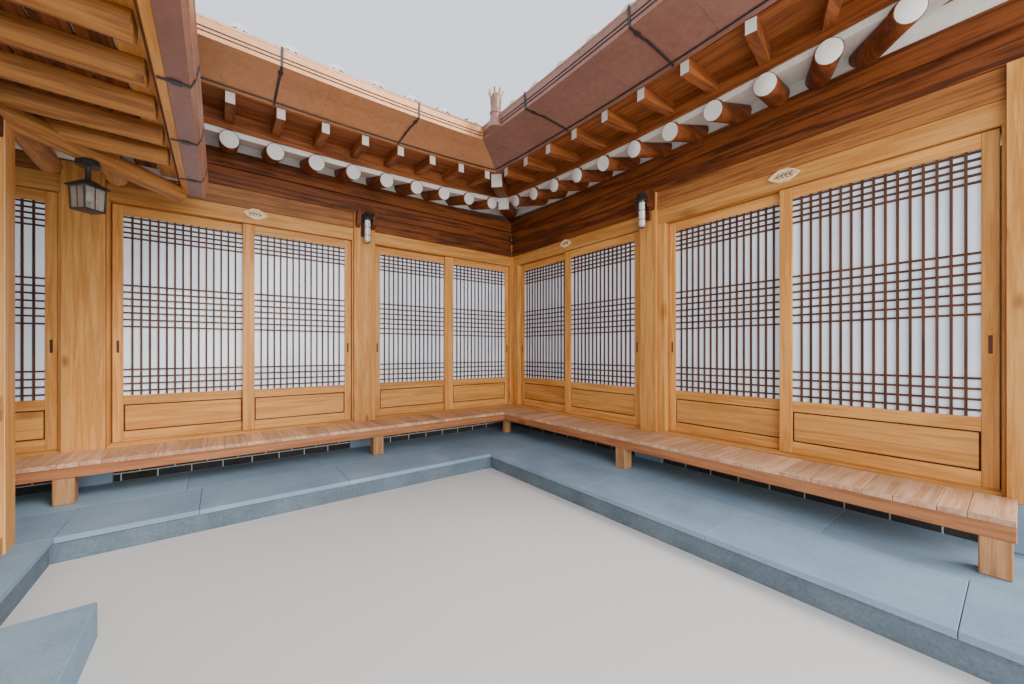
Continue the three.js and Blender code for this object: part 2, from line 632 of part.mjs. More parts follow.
// Gutters: a wide sheet soffit under the eave edge, bent into an open channel with a rolled lip.
const gutterSection = [
  [866, 3057],
  [900, 3068],
  [1190, 3084],
  [1190, 3075],
  [GUTTER_FRONT_W, 3075],
  [GUTTER_FRONT_W + 8, 3182],
  [GUTTER_FRONT_W - 2, 3182],
  [GUTTER_FRONT_W - 9, 3084],
  [1199, 3084],
  [1199, 3092],
  [898, 3076],
  [866, 3065],
];
function gutter(wing, end) {
  return sweep(wing, gutterSection, valley, () => end, { steps: 8, lifted: true });
}

// Spout: a flared copper horn on the right gutter near the inner corner.
const SPOUT_S = 1560;
function spout() {
  const profile = [
    [0, 0],
    [75, 0],
    [52, 45],
    [38, 130],
    [34, 250],
    [20, 300],
    [0, 305],
  ].map(([r, z]) => new THREE.Vector2(r, z));
  const geometry = new THREE.LatheGeometry(profile, 12);
  geometry.rotateX(Math.PI / 2);
  const [x, y, z] = lifted(RIGHT, SPOUT_S, GUTTER_FRONT_W + 12, 3070);
  geometry.translate(x, y, z);
  return solid(geometry);
}
add('gutter_back', without(gutter(BACK, BACK_EAVE_END), valleyRoom), COPPER);
const gutterRight = gutter(RIGHT, RIGHT_EAVE_END).add(spout());
add('gutter_right', without(gutterRight, valleyRoom, hipRoom), COPPER);

// Outer walls: white plaster between timber posts, with window openings, up to the rafters.
const WALL_TOP = 3172;
const WINDOW = { bottom: 1250, top: 2150 };
function windowHoles(wallBox, holes) {
  return holes.reduce((wall, hole) => wall.subtract(hole), wallBox);
}
const northHoles = [-4900, -2300, 1300].map((x) =>
  box(x - 600, x + 600, OUT - 10, WING_DEPTH + 10, WINDOW.bottom, WINDOW.top),
);
const eastHoles = [1300, -1000, -3000].map((y) =>
  box(OUT - 10, WING_DEPTH + 10, y - 600, y + 600, WINDOW.bottom, WINDOW.top),
);
const southHole = box(900, 2100, -RIGHT_LENGTH - 10, 10 - RIGHT_WALL_FACE, WINDOW.bottom, WINDOW.top);
const BASE = PLATFORM_TOP + GAP;
const INSIDE = WING_DEPTH - WALL;
const wallNorth = windowHoles(box(-SIDE_WALL_FACE, WING_DEPTH, INSIDE, WING_DEPTH, BASE, WALL_TOP), northHoles);
const wallEast = windowHoles(
  box(INSIDE, WING_DEPTH, -RIGHT_WALL_FACE, INSIDE - GAP, BASE, WALL_TOP),
  eastHoles,
);
const wallSouth = windowHoles(
  box(WALL + GAP, WING_DEPTH, -RIGHT_LENGTH, -RIGHT_WALL_FACE - GAP, BASE, WALL_TOP),
  [southHole],
);
const wallWest = box(-BACK_LENGTH, -SIDE_WALL_FACE - GAP, -CORNER, WING_DEPTH, BASE, WALL_TOP);
const under = (logs) => join(logs).translate([0, 0, -GAP]);
add('wall_north', without(wallNorth, under(northLogs)), PLASTER);
add('wall_east', without(wallEast, under(eastLogs)), PLASTER);
add('wall_south', without(wallSouth, under(southLogs)), PLASTER);
add('wall_west', without(wallWest, under(westLogs)), PLASTER);

// Outer windows: one sheet of papered sash closes each wall's openings from inside.
const SASH = 28;
const sashLow = WINDOW.bottom - 50;
const sashHigh = WINDOW.top + 50;
add('window_north', box(-5560, 1960, INSIDE - GAP - SASH, INSIDE - GAP, sashLow, sashHigh), PAPER);
add('window_east', box(INSIDE - GAP - SASH, INSIDE - GAP, -3660, 1960, sashLow, sashHigh), PAPER);
add('window_south', box(840, 2160, -RIGHT_WALL_FACE, SASH - RIGHT_WALL_FACE, sashLow, sashHigh), PAPER);

// Left wing: plastered walls with a post at each corner and a mid rail, under a low hipped roof.
const leftWest = LEFT_WALL_X - LEFT_DEPTH;
const leftMid = LEFT_WALL_X - LEFT_DEPTH / 2;
const POST = 120;
const leftOuter = box(leftWest, LEFT_WALL_X, -LEFT_END, -LEFT_START, BASE, LEFT_WALL_TOP);
const leftInner = box(
  leftWest + LEFT_WALL,
  LEFT_WALL_X - LEFT_WALL,
  -LEFT_END + LEFT_WALL,
  -LEFT_START - LEFT_WALL,
  0,
  LEFT_WALL_TOP + 1,
);
const leftPosts = [1120, 3180, 5240].flatMap((s) =>
  [LEFT_WALL_X - POST + 14, leftWest - 14].map((x) =>
    box(x, x + POST, -s - POST / 2, -s + POST / 2, BASE, LEFT_WALL_TOP),
  ),
);
const LEFT_DOOR = { from: -2900, to: -2000, top: 2050 };
const leftCut = [LEFT_WALL_X - 300, LEFT_WALL_X + 50];
const leftWindow = box(...leftCut, -4700, -3700, WINDOW.bottom - 100, WINDOW.top - 150);
const leftDoor = box(...leftCut, LEFT_DOOR.from, LEFT_DOOR.to, 0, LEFT_DOOR.top);
const leftWalls = join([leftOuter.subtract(leftInner), ...leftPosts]).subtract(leftWindow).subtract(leftDoor);

// Left roof: yard eave, street eave and two hipped ends in one clay and tile shell on log rafters.
const leftRun = LEFT_EAVE_W + LEFT_DEPTH / 2;
const streetRun = LEFT_DEPTH / 2 + LEFT_OUTER_EAVE;
const LEFT_SOFFIT = 2440;
const LEFT_PEAK = LEFT_SOFFIT + 30;
const leftTop = (t) => roofTop(t, LEFT_RISE, LEFT_EAVE_Z);
const leftRidgeW = -LEFT_DEPTH / 2;
const leftStreetW = -LEFT_DEPTH - LEFT_OUTER_EAVE;
const leftT = (w) => (w > leftRidgeW ? (LEFT_EAVE_W - w) / leftRun : (w - leftStreetW) / streetRun);
const leftSection = [
  ...curve(LEFT_EAVE_W, leftRidgeW, leftTop),
  ...curve(leftStreetW, leftRidgeW, leftTop).reverse().slice(1),
  [leftStreetW, LEFT_SOFFIT],
  [leftRidgeW, LEFT_PEAK],
  [LEFT_EAVE_W, LEFT_SOFFIT],
];
const leftSlopes = sweep(
  LEFT,
  leftSection,
  (w) => LEFT_ROOF_START + leftRun * leftT(w),
  (w) => LEFT_ROOF_END - leftRun * leftT(w),
  { steps: 4 },
);
function leftHip(edgeS, inward) {
  const section = [...curve(0, leftRun, leftTop), [leftRun, LEFT_PEAK], [0, LEFT_SOFFIT]];
  const shape = new THREE.Shape(section.map(([v, z]) => new THREE.Vector2(v, z)));
  const geometry = new THREE.ExtrudeGeometry(shape, { depth: 1, steps: 1, bevelEnabled: false });
  const move = (p) => {
    const t = p.x / leftRun;
    const yard = LEFT_EAVE_W - leftRun * t + 2;
    const street = leftStreetW + streetRun * t - 2;
    const [x, y] = LEFT.place(edgeS + inward * p.x, THREE.MathUtils.lerp(yard, street, p.z));
    p.set(x, y, p.y);
  };
  return solid(geometry, move);
}
const LEFT_PITCH = 305;
const LEFT_LOG = 52;
const LEFT_LOG_Z = LEFT_SOFFIT - 35;
const LEFT_LOG_END_W = 620;
const LEFT_LOG_REACH = 1500;
const LEFT_LOG_FALL = 0.02;

// Left rafters: level logs under both eaves near the yard. With play, the room that the walls leave.
function leftLogs(play = 0) {
  const radius = LEFT_LOG + play;
  const logs = [];
  for (let s = 1000; s < 5700; s += LEFT_PITCH) {
    const corner = Math.min(s - LEFT_ROOF_START, LEFT_ROOF_END - s) * 0.95;
    const reach = Math.min(LEFT_LOG_REACH, corner);
    const [x0, y] = LEFT.place(s, LEFT_LOG_END_W);
    const inner = [x0 - reach - play, y, LEFT_LOG_Z + LEFT_LOG_FALL * reach];
    logs.push(pole([x0 + play, y, LEFT_LOG_Z], inner, radius, radius, 10));
  }
  for (let i = 0; i < 7; i += 1) {
    const x = LEFT_WALL_X + 310 - i * LEFT_PITCH;
    const inner = [x, -LEFT_LOG_REACH - play, LEFT_LOG_Z + 25];
    logs.push(pole([x, -500 + play, LEFT_LOG_Z - 40], inner, radius, radius, 10));
  }
  const hipFrom = [LEFT_WALL_X + 640, -LEFT_ROOF_START - 40, LEFT_SOFFIT - 105];
  const hipTo = [leftMid + 250, -LEFT_ROOF_START - leftRun + 250, LEFT_SOFFIT - 20];
  logs.push(pole(hipFrom, hipTo, 58 + play, 60 + play, 10));
  return join(logs);
}
const FASCIA_W = [LEFT_EAVE_W - 80, LEFT_EAVE_W - 42];
const leftFascia = [
  [FASCIA_W[0], 2362],
  [FASCIA_W[1], 2362],
  [FASCIA_W[1], 2470],
  [FASCIA_W[0], 2470],
];
const fascia = sweep(LEFT, leftFascia, () => LEFT_ROOF_START, () => LEFT_ROOF_END);
const leftShell = join([leftSlopes, leftHip(LEFT_ROOF_START, 1), leftHip(LEFT_ROOF_END, -1)]);
add('roof_left', join([leftShell, fascia, leftLogs()]), TILE);
const leftLogRoom = leftLogs(GAP);
add('walls_left', without(leftWalls, leftLogRoom, leftShell.translate([0, 0, -GAP])), PLASTER);
add(
  'window_left',
  box(LEFT_WALL_X - LEFT_WALL - SASH - GAP, LEFT_WALL_X - LEFT_WALL - GAP, -4750, -3650, 1100, 2050),
  PAPER,
);
const leftDoorLeaf = box(
  LEFT_WALL_X - 80,
  LEFT_WALL_X - 40,
  LEFT_DOOR.from + GAP,
  LEFT_DOOR.to - GAP,
  BASE,
  LEFT_DOOR.top - GAP,
);
add('door_left', leftDoorLeaf, HONEY);
const leftRidgeZ = leftTop(1) + 60;
const leftRidge = ridgeLine(
  [leftMid, -LEFT_ROOF_START - leftRun + 60, leftRidgeZ],
  [leftMid, -LEFT_ROOF_END + leftRun - 60, leftRidgeZ],
  220,
);
add('ridge_left', without(leftRidge, leftShell.translate([0, 0, GAP])), TILE);

// Left gutter: a deep stepped copper channel outside a honey fascia board.
const leftGutterSection = [
  [FASCIA_W[1] + GAP, 2362],
  [770, 2362],
  [786, 2400],
  [800, 2470],
  [790, 2470],
  [776, 2402],
  [764, 2372],
  [FASCIA_W[1] + GAP, 2372],
];
const gutterLeft = sweep(LEFT, leftGutterSection, () => LEFT_ROOF_START - 40, () => LEFT_ROOF_END + 40);
add('gutter_left', gutterLeft, COPPER);

// Wall lamps at the column heads: a black dome over a glass tube on a wood backing.
function wallLamp(name, wing, s) {
  const face = COLUMN_FACE + GAP;
  const backing = wingBox(wing, s - 45, s + 45, face, face + 18, 2380, 2620);
  const arm = wingBox(wing, s - 20, s + 20, face + 16, face + 70, 2560, 2600);
  const [x, y] = wing.place(s, face + 85);
  const tube = pole([x, y, 2300], [x, y, 2560], 30, 30);
  const dome = pole([x, y, 2540], [x, y, 2625], 62, 30);
  add(name, join([backing, arm, tube, dome]), LAMP);
}
wallLamp('lamp_back', BACK, 1990);
wallLamp('lamp_right', RIGHT, 2147);

// Lantern: a small black four-sided lantern on a short stem, its plate on the left hip log.
const LANTERN = { x: -3855, y: -884 };
const lanternBody = pole([LANTERN.x, LANTERN.y, 2000], [LANTERN.x, LANTERN.y, 2145], 82, 88, 4);
const lanternHood = pole([LANTERN.x, LANTERN.y, 2140], [LANTERN.x, LANTERN.y, 2190], 105, 30, 4);
const lanternStem = pole([LANTERN.x, LANTERN.y, 2180], [LANTERN.x, LANTERN.y, 2285], 14, 14, 8);
const lanternPlate = pole([LANTERN.x, LANTERN.y, 2268], [LANTERN.x, LANTERN.y, 2310], 56, 50, 12);
const lantern = join([lanternBody, lanternHood, lanternStem, lanternPlate]);
add('lantern', without(lantern, leftLogRoom), LAMP);

export default group;
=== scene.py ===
import math
import random

import bmesh
import bpy
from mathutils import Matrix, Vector
from mathutils.bvhtree import BVHTree


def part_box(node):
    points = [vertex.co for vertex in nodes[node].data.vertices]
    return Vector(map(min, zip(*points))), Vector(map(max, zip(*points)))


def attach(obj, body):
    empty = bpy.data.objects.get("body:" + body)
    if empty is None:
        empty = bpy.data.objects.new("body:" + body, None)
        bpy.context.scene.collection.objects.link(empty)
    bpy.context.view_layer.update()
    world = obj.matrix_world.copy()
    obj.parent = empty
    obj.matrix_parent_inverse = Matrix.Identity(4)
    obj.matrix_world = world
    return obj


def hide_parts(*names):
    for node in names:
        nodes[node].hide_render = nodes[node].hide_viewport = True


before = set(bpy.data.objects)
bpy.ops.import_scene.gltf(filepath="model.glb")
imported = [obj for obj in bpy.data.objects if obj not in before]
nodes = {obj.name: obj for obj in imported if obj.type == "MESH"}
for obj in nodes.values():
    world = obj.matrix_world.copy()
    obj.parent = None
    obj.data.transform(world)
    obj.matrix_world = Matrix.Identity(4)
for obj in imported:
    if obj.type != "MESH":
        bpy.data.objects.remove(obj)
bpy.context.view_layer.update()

# The yard, seen from its open end near the low left wing. The eye is a little over a metre up, and
# the view is very wide, so both door walls and the meeting of their eaves show together.
EYE = (-3.22, -4.26, 1.165)
TURN_TO_CORNER = -37.1
WIDE_LENS = 13.54
HORIZON_DROP = 0.0088
NEAREST_SHOWN = 0.02


def stand(name, data):
    """Puts a thing in the scene under its own name."""
    stood = bpy.data.objects.new(name, data)
    bpy.context.collection.objects.link(stood)
    return stood


eye_data = bpy.data.cameras.new("yard_view")
eye_data.sensor_width = 36
eye_data.lens = WIDE_LENS
eye_data.shift_y = HORIZON_DROP
eye_data.clip_start = NEAREST_SHOWN
eye = stand("yard_view", eye_data)
eye.location = EYE
eye.rotation_euler = (math.radians(90), 0, math.radians(TURN_TO_CORNER))
bpy.context.scene.camera = eye

# The studio: a plain pale floor at yard level, a soft even sky, one broad lamp high behind the right
# wing, where the daylight came from, and a wide panel at the yard's open end that fills the eaves.
FLOOR_REACH = 60
FLOOR_COLOUR = (0.66, 0.66, 0.65, 1)
SKY_COLOUR = (0.86, 0.92, 1.0, 1)
SKY_STRENGTH = 1.4
LAMP_ENERGY = 2.8
LAMP_SPREAD = 25
LAMP_COLOUR = (1.0, 0.96, 0.9)
LAMP_HEADING = Vector((-0.35, 0.75, -0.62))
PANEL_ENERGY = 460
PANEL_COLOUR = (1.0, 0.95, 0.88)
PANEL_SIZE = (7, 3.5)
PANEL_PLACE = Vector((-3.0, -9.0, 2.4))
PANEL_AIM = Vector((-1.8, 0.0, 1.5))


def new_finish(name):
    """An empty material, its node tree and its surface shader."""
    finish = bpy.data.materials.new(name)
    finish.use_nodes = True
    tree = finish.node_tree
    return finish, tree, tree.nodes["Principled BSDF"]


floor_finish, _, floor_surface = new_finish("studio_floor")
floor_surface.inputs["Base Color"].default_value = FLOOR_COLOUR
floor_surface.inputs["Roughness"].default_value = 0.9
floor_mesh = bpy.data.meshes.new("studio_floor")
floor_mesh.from_pydata(
    [(x * FLOOR_REACH, y * FLOOR_REACH, 0) for x, y in ((-1, -1), (1, -1), (1, 1), (-1, 1))],
    [],
    [(0, 1, 2, 3)],
)
floor_mesh.materials.append(floor_finish)
studio_floor = stand("studio_floor", floor_mesh)

studio_sky = bpy.data.worlds.new("studio_sky")
studio_sky.use_nodes = True
sky_light = studio_sky.node_tree.nodes["Background"]
sky_light.inputs["Color"].default_value = SKY_COLOUR
sky_light.inputs["Strength"].default_value = SKY_STRENGTH
bpy.context.scene.world = studio_sky

lamp_data = bpy.data.lights.new("broad_lamp", "SUN")
lamp_data.energy = LAMP_ENERGY
lamp_data.angle = math.radians(LAMP_SPREAD)
lamp_data.color = LAMP_COLOUR
broad_lamp = stand("broad_lamp", lamp_data)
broad_lamp.rotation_euler = LAMP_HEADING.to_track_quat("-Z", "Y").to_euler()

panel_data = bpy.data.lights.new("soft_panel", "AREA")
panel_data.shape = "RECTANGLE"
panel_data.size, panel_data.size_y = PANEL_SIZE
panel_data.energy = PANEL_ENERGY
panel_data.color = PANEL_COLOUR
soft_panel = stand("soft_panel", panel_data)
soft_panel.location = PANEL_PLACE
soft_panel.rotation_euler = (PANEL_AIM - PANEL_PLACE).to_track_quat("-Z", "Y").to_euler()

# Honey-coloured softwood: squared posts and door frames, planed, stained and oiled. Grain runs along
# each timber, with growth bands, fine pores and a few dark knots, and each timber has its own tone.
HONEY = {"pale": (0.74, 0.365, 0.100), "deep": (0.56, 0.235, 0.050), "knot": (0.18, 0.055, 0.015)}
GRAIN_AXES = "xyz"
TIMBER_SHIFT = (31.0, 17.0, 23.0)
GRAIN_BANDS = 13.0
GRAIN_STRETCH = 0.05
KNOT_STRETCH = 0.42
WOOD_SHINE = 0.3


def add_node(tree, kind, inputs=(), **settings):
    """One shader node. An input takes a plain value or another node's output."""
    made = tree.nodes.new("ShaderNode" + kind)
    for setting, value in settings.items():
        setattr(made, setting, value)
    for socket, value in dict(inputs).items():
        if isinstance(value, bpy.types.NodeSocket):
            tree.links.new(value, made.inputs[socket])
        else:
            made.inputs[socket].default_value = value
    return made


def house_place(tree):
    """Each spot's own place on the piece, in metres."""
    return add_node(tree, "TexCoord").outputs["Object"]


def noise(tree, place, scale, detail, roughness=0.5, distortion=0.0):
    """Clouds, streaks or fine grain, by the scale they are drawn at."""
    touches = {"Scale": scale, "Detail": detail, "Roughness": roughness, "Distortion": distortion}
    return add_node(tree, "TexNoise", {"Vector": place, **touches}).outputs


def mapped(tree, value, low, high, start=0.0, end=1.0):
    """A value between start and end, carried over to the range from low to high."""
    limits = {"From Min": start, "From Max": end, "To Min": low, "To Max": high}
    return add_node(tree, "MapRange", {"Value": value, **limits}).outputs[0]


def reckoned(tree, how, first, second):
    """Two plain values put together."""
    return add_node(tree, "Math", {0: first, 1: second}, operation=how).outputs[0]


def vector_reckoned(tree, how, first, second):
    """Two places or colours put together, or one made larger by a plain value."""
    partner = "Scale" if how == "SCALE" else 1
    return add_node(tree, "VectorMath", {0: first, partner: second}, operation=how).outputs[0]


def two_tones(tree, value, first, last, start=0.0):
    """A colour that passes from the first tone to the last as a value rises."""
    ramp = add_node(tree, "ValToRGB", {"Fac": value})
    ends = ramp.color_ramp.elements
    ends[0].color = (*first, 1)
    ends[1].color = (*last, 1)
    ends[0].position = start
    return ramp.outputs["Color"]


def blended(tree, share, first, second):
    """A share of the second colour laid into the first."""
    mix = add_node(tree, "Mix", {"Factor": share, "A": first, "B": second}, data_type="RGBA")
    return next(socket for socket in mix.outputs if socket.type == "RGBA")


def add_relief(tree, surface, height, strength, distance):
    """Fine relief that catches the light."""
    bump = add_node(tree, "Bump", {"Height": height, "Strength": strength, "Distance": distance})
    tree.links.new(bump.outputs[0], surface.inputs["Normal"])


def wood_finish(name, tones, grain, knots=0.55, knot_scale=2.6, gloss=0.42, tone_play=0.10):
    """Wood whose grain runs along one axis of the house."""
    finish, tree, surface = new_finish(name)
    surface.inputs["Specular IOR Level"].default_value = WOOD_SHINE
    place = house_place(tree)
    island = add_node(tree, "NewGeometry").outputs["Random Per Island"]
    shift = vector_reckoned(tree, "SCALE", TIMBER_SHIFT, island)
    moved = vector_reckoned(tree, "ADD", place, shift)

    along = [GRAIN_STRETCH if axis == grain else 1.0 for axis in GRAIN_AXES]
    drawn = vector_reckoned(tree, "MULTIPLY", moved, along)
    bend = vector_reckoned(tree, "SCALE", noise(tree, drawn, 5.0, 2.0)["Color"], 0.09)
    bowed = vector_reckoned(tree, "ADD", drawn, bend)
    bands = noise(tree, bowed, GRAIN_BANDS, 5.0, roughness=0.62)["Fac"]
    pores = noise(tree, bowed, 190.0, 3.0)["Fac"]
    wave = reckoned(tree, "PINGPONG", reckoned(tree, "MULTIPLY", bands, 9.0), 1.0)
    tone = two_tones(tree, wave, tones["pale"], tones["deep"], 0.15)

    cloud = mapped(tree, noise(tree, drawn, 1.7, 2.0)["Fac"], 0.9, 1.08, 0.3, 0.7)
    own = mapped(tree, island, 1 - tone_play, 1 + tone_play)
    pore = mapped(tree, pores, 1.06, 0.88, 0.3, 0.75)
    shade = reckoned(tree, "MULTIPLY", reckoned(tree, "MULTIPLY", cloud, own), pore)
    grained = vector_reckoned(tree, "SCALE", tone, shade)

    knot_along = [KNOT_STRETCH if axis == grain else 1.0 for axis in GRAIN_AXES]
    knot_place = vector_reckoned(tree, "MULTIPLY", moved, knot_along)
    spots = add_node(tree, "TexVoronoi", {"Vector": knot_place, "Scale": knot_scale})
    knot = mapped(tree, spots.outputs["Distance"], knots, 0.0, 0.035, 0.12)
    tree.links.new(blended(tree, knot, grained, (*tones["knot"], 1)), surface.inputs["Base Color"])

    rough = mapped(tree, pores, gloss - 0.08, gloss + 0.14)
    tree.links.new(rough, surface.inputs["Roughness"])
    add_relief(tree, surface, reckoned(tree, "ADD", bands, pores), 0.28, 0.0022)
    return finish


def wood_set(name, tones, axes=GRAIN_AXES, **touches):
    """The same wood once for each axis that its grain can follow."""
    return {axis: wood_finish(f"{name}_{axis}", tones, axis, **touches) for axis in axes}


honey = wood_set("honey_wood", HONEY)


def dress(node, finish, chamfer=0.0):
    """A piece of the solid model keeps its shape and takes this finish, its edges eased if asked."""
    solid = nodes[node]
    solid.data.materials.clear()
    solid.data.materials.append(finish)
    if chamfer:
        eased = solid.modifiers.new("eased_edges", "BEVEL")
        eased.width = chamfer
        eased.segments = 2
        eased.limit_method = "ANGLE"
        eased.angle_limit = math.radians(40)
        eased.use_clamp_overlap = True


COLUMN_EDGE = 0.004
knotty_wood = wood_finish("knotty_column_wood", HONEY, "z", knots=0.72, knot_scale=4.6)
for column in ("corner", "back_1", "back_2", "right_1", "right_2"):
    dress("column_" + column, knotty_wood, COLUMN_EDGE)

# Door frames: a sill with two running strips, two jambs, a head and a lintel board in each bay, all
# separate planed timbers tenoned together between the columns. Near the corner the lintels are dark.
DARK = {"pale": (0.225, 0.062, 0.013), "deep": (0.062, 0.015, 0.004), "knot": (0.02, 0.006, 0.003)}
AMBER = {"pale": (0.40, 0.160, 0.044), "deep": (0.235, 0.080, 0.020), "knot": (0.07, 0.022, 0.008)}
dark = wood_set("dark_wood", DARK, knots=0.8, gloss=0.5)
amber = wood_set("amber_wood", AMBER, "xy", knots=0.7)

# Along each door wall a place is told by s, the distance from the inner corner, and w, the distance
# out into the yard.
WINGS = {
    "back": {"run": "x", "across": "y", "place": lambda s, w: (-s, -w)},
    "right": {"run": "y", "across": "x", "place": lambda s, w: (-w, -s)},
}


def wing_point(wing, s, w, z):
    x, y = WINGS[wing]["place"](s, w)
    return Vector((x, y, z))


def wing_range(wing, node):
    """A solid's extent along its wing as (s from, s to, w from, w to, z from, z to)."""
    low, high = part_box(node)
    across = ((-high.x, -low.x), (-high.y, -low.y))
    along, out = across if wing == "back" else reversed(across)
    return (*along, *out, low.z, high.z)


def new_piece():
    return bmesh.new()


def eased_box(piece, low, high, edge, finish):
    """A squared timber or slab between two corners, with eased edges."""
    low, high = Vector(low), Vector(high)
    low, high = Vector(map(min, low, high)), Vector(map(max, low, high))
    made = bmesh.ops.create_cube(piece, size=1)["verts"]
    for vert in made:
        vert.co = Vector(low[i] + (vert.co[i] + 0.5) * (high[i] - low[i]) for i in range(3))
    for face in dict.fromkeys(face for vert in made for face in vert.link_faces):
        face.material_index = finish
    if edge:
        edges = list(dict.fromkeys(side for vert in made for side in vert.link_edges))
        easing = {"offset": edge, "segments": 1, "affect": "EDGES", "clamp_overlap": True}
        bmesh.ops.bevel(piece, geom=edges, material=finish, **easing)


def wing_box(piece, wing, s_range, w_range, z_range, edge, finish):
    low = wing_point(wing, s_range[0], w_range[0], z_range[0])
    high = wing_point(wing, s_range[1], w_range[1], z_range[1])
    eased_box(piece, low, high, edge, finish)


def set_piece(name, piece, finishes, stands_for=(), body="house", smooth=35, lie=None):
    """Turns the gathered parts into one object that rides on its body. A piece that was made along
    its own length is first laid between two points."""
    mesh = bpy.data.meshes.new(name)
    piece.to_mesh(mesh)
    piece.free()
    for finish in finishes:
        mesh.materials.append(finish)
    if smooth:
        mesh.shade_smooth()
        mesh.set_sharp_from_angle(angle=math.radians(smooth))
    made = stand(name, mesh)
    if lie:
        made.location = lie[0]
        made.rotation_euler = (lie[1] - lie[0]).to_track_quat("X", "Z").to_euler()
        bpy.context.view_layer.update()
    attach(made, body)
    if stands_for:
        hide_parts(*stands_for)


BAYS = {"back_1": "back", "back_2": "back", "back_3": "back", "right_1": "right", "right_2": "right"}
CORNER_BAYS = ("back_1", "right_1")
FRAME_W = (-0.15, 0)
FRAME_EDGE = 0.003
SILL = (0.400, 0.430)
HEAD = (2.336, 2.465)
LINTEL_BACK = -0.13
LINTEL_STEPS = (0.012, 0.006)
LINTEL_TOP = 2.6297
LINTEL_SPLIT = (HEAD[1] + LINTEL_TOP) / 2 - 0.02
LEAF_PLAY = 0.006
RUNNER = 0.014
HAIR = 0.0004

for bay, wing in BAYS.items():
    run = WINGS[wing]["run"]
    start, end = wing_range(wing, "door_frame_" + bay)[:2]
    near = wing_range(wing, f"leaf_{bay}_near")
    far = wing_range(wing, f"leaf_{bay}_far")
    opening = (near[0] - LEAF_PLAY, far[1] + LEAF_PLAY)
    door_frame = new_piece()
    for level in (SILL, HEAD):
        wing_box(door_frame, wing, (start, end), FRAME_W, level, FRAME_EDGE, 1)
    for jamb in ((start, opening[0]), (opening[1], end)):
        wing_box(door_frame, wing, jamb, FRAME_W, (SILL[1], HEAD[0]), FRAME_EDGE, 0)
    for track in (near, far):
        middle = (track[2] + track[3]) / 2
        strip = (middle - RUNNER / 2, middle + RUNNER / 2)
        wing_box(door_frame, wing, opening, strip, (SILL[1], near[4] - HAIR), 0.001, 1)
    lintel_finish = 2 if bay in CORNER_BAYS else 3
    for front, level in zip(LINTEL_STEPS, ((HEAD[1], LINTEL_SPLIT), (LINTEL_SPLIT, LINTEL_TOP))):
        wing_box(door_frame, wing, (start, end), (LINTEL_BACK, front), level, FRAME_EDGE, lintel_finish)
    finishes = [honey["z"], honey[run], dark[run], amber[run]]
    set_piece("frame_" + bay, door_frame, finishes, stands_for=["door_frame_" + bay])

# Sliding leaves: a softwood frame with a paper-backed lattice above and one moulded board below. The
# thin bars are half-lapped, upright all the way and crossed by level bars in three groups.
# The paper's pale blue tint is a painted reflection of the sky, over its own white.
SKY_TINTED_PAPER = (0.78, 0.88, 1.0)
# Painted light: the paper glows a little, as if lit from behind, though it is no lamp.
PAINTED_PAPER_GLOW = 0.24
BAR_TONES = {"pale": (0.115, 0.045, 0.020), "deep": (0.055, 0.021, 0.010), "knot": (0.03, 0.012, 0.006)}
bar_finishes = wood_set("lattice_wood", BAR_TONES, knots=0.0, gloss=0.5)
STILE = 0.062
LEAF_BOARD = (0.520, 0.735)
BOARD_INSET = 0.009
BOARD_W = (0.004, -0.018)
FIELD_W = (-0.020, -0.005)
PAPER_W = (0.010, -0.016)
LATTICE = (0.810, 2.250)
BAR = 0.0125
BAR_PITCH = 0.0525
UPRIGHT_W = (-0.017, -0.003)
LEVEL_W = (-0.017, -0.0045)
BOTTOM_BARS = (0.846, 0.903, 0.960, 1.017)
MIDDLE_BARS = (1.363, 1.418, 1.473, 1.528, 1.583, 1.638, 1.693)
TOP_BARS = (2.075, 2.116, 2.157, 2.198, 2.238)
PULL_HALF = 0.009
PULL_W = (-0.004, 0.0015)
PULL_Z = (1.15, 1.25)


def paper_finish():
    """Mulberry paper: fibres, faint clouds, a painted pale blue tint of sky reflection, and a painted glow
    for a little light let through.
    """
    finish, tree, surface = new_finish("door_paper")
    place = house_place(tree)
    clouds = noise(tree, place, 2.2, 4.0)["Fac"]
    fibres = noise(tree, place, 90.0, 5.0, distortion=1.5)["Fac"]
    tone = mapped(tree, clouds, 0.86, 1.08, 0.3, 0.7)
    fibre = mapped(tree, fibres, 0.97, 1.03, 0.3, 0.7)
    colour = vector_reckoned(tree, "SCALE", SKY_TINTED_PAPER, reckoned(tree, "MULTIPLY", tone, fibre))
    tree.links.new(colour, surface.inputs["Base Color"])
    add_relief(tree, surface, fibres, 0.15, 0.0006)
    # Painted glow: the paper gives off a little light of its own colour.
    surface.inputs["Emission Color"].default_value = (*SKY_TINTED_PAPER, 1)
    surface.inputs["Emission Strength"].default_value = PAINTED_PAPER_GLOW
    surface.inputs["Roughness"].default_value = 0.75
    surface.inputs["Coat Weight"].default_value = 0.55
    surface.inputs["Coat Roughness"].default_value = 0.06
    return finish


door_paper = paper_finish()


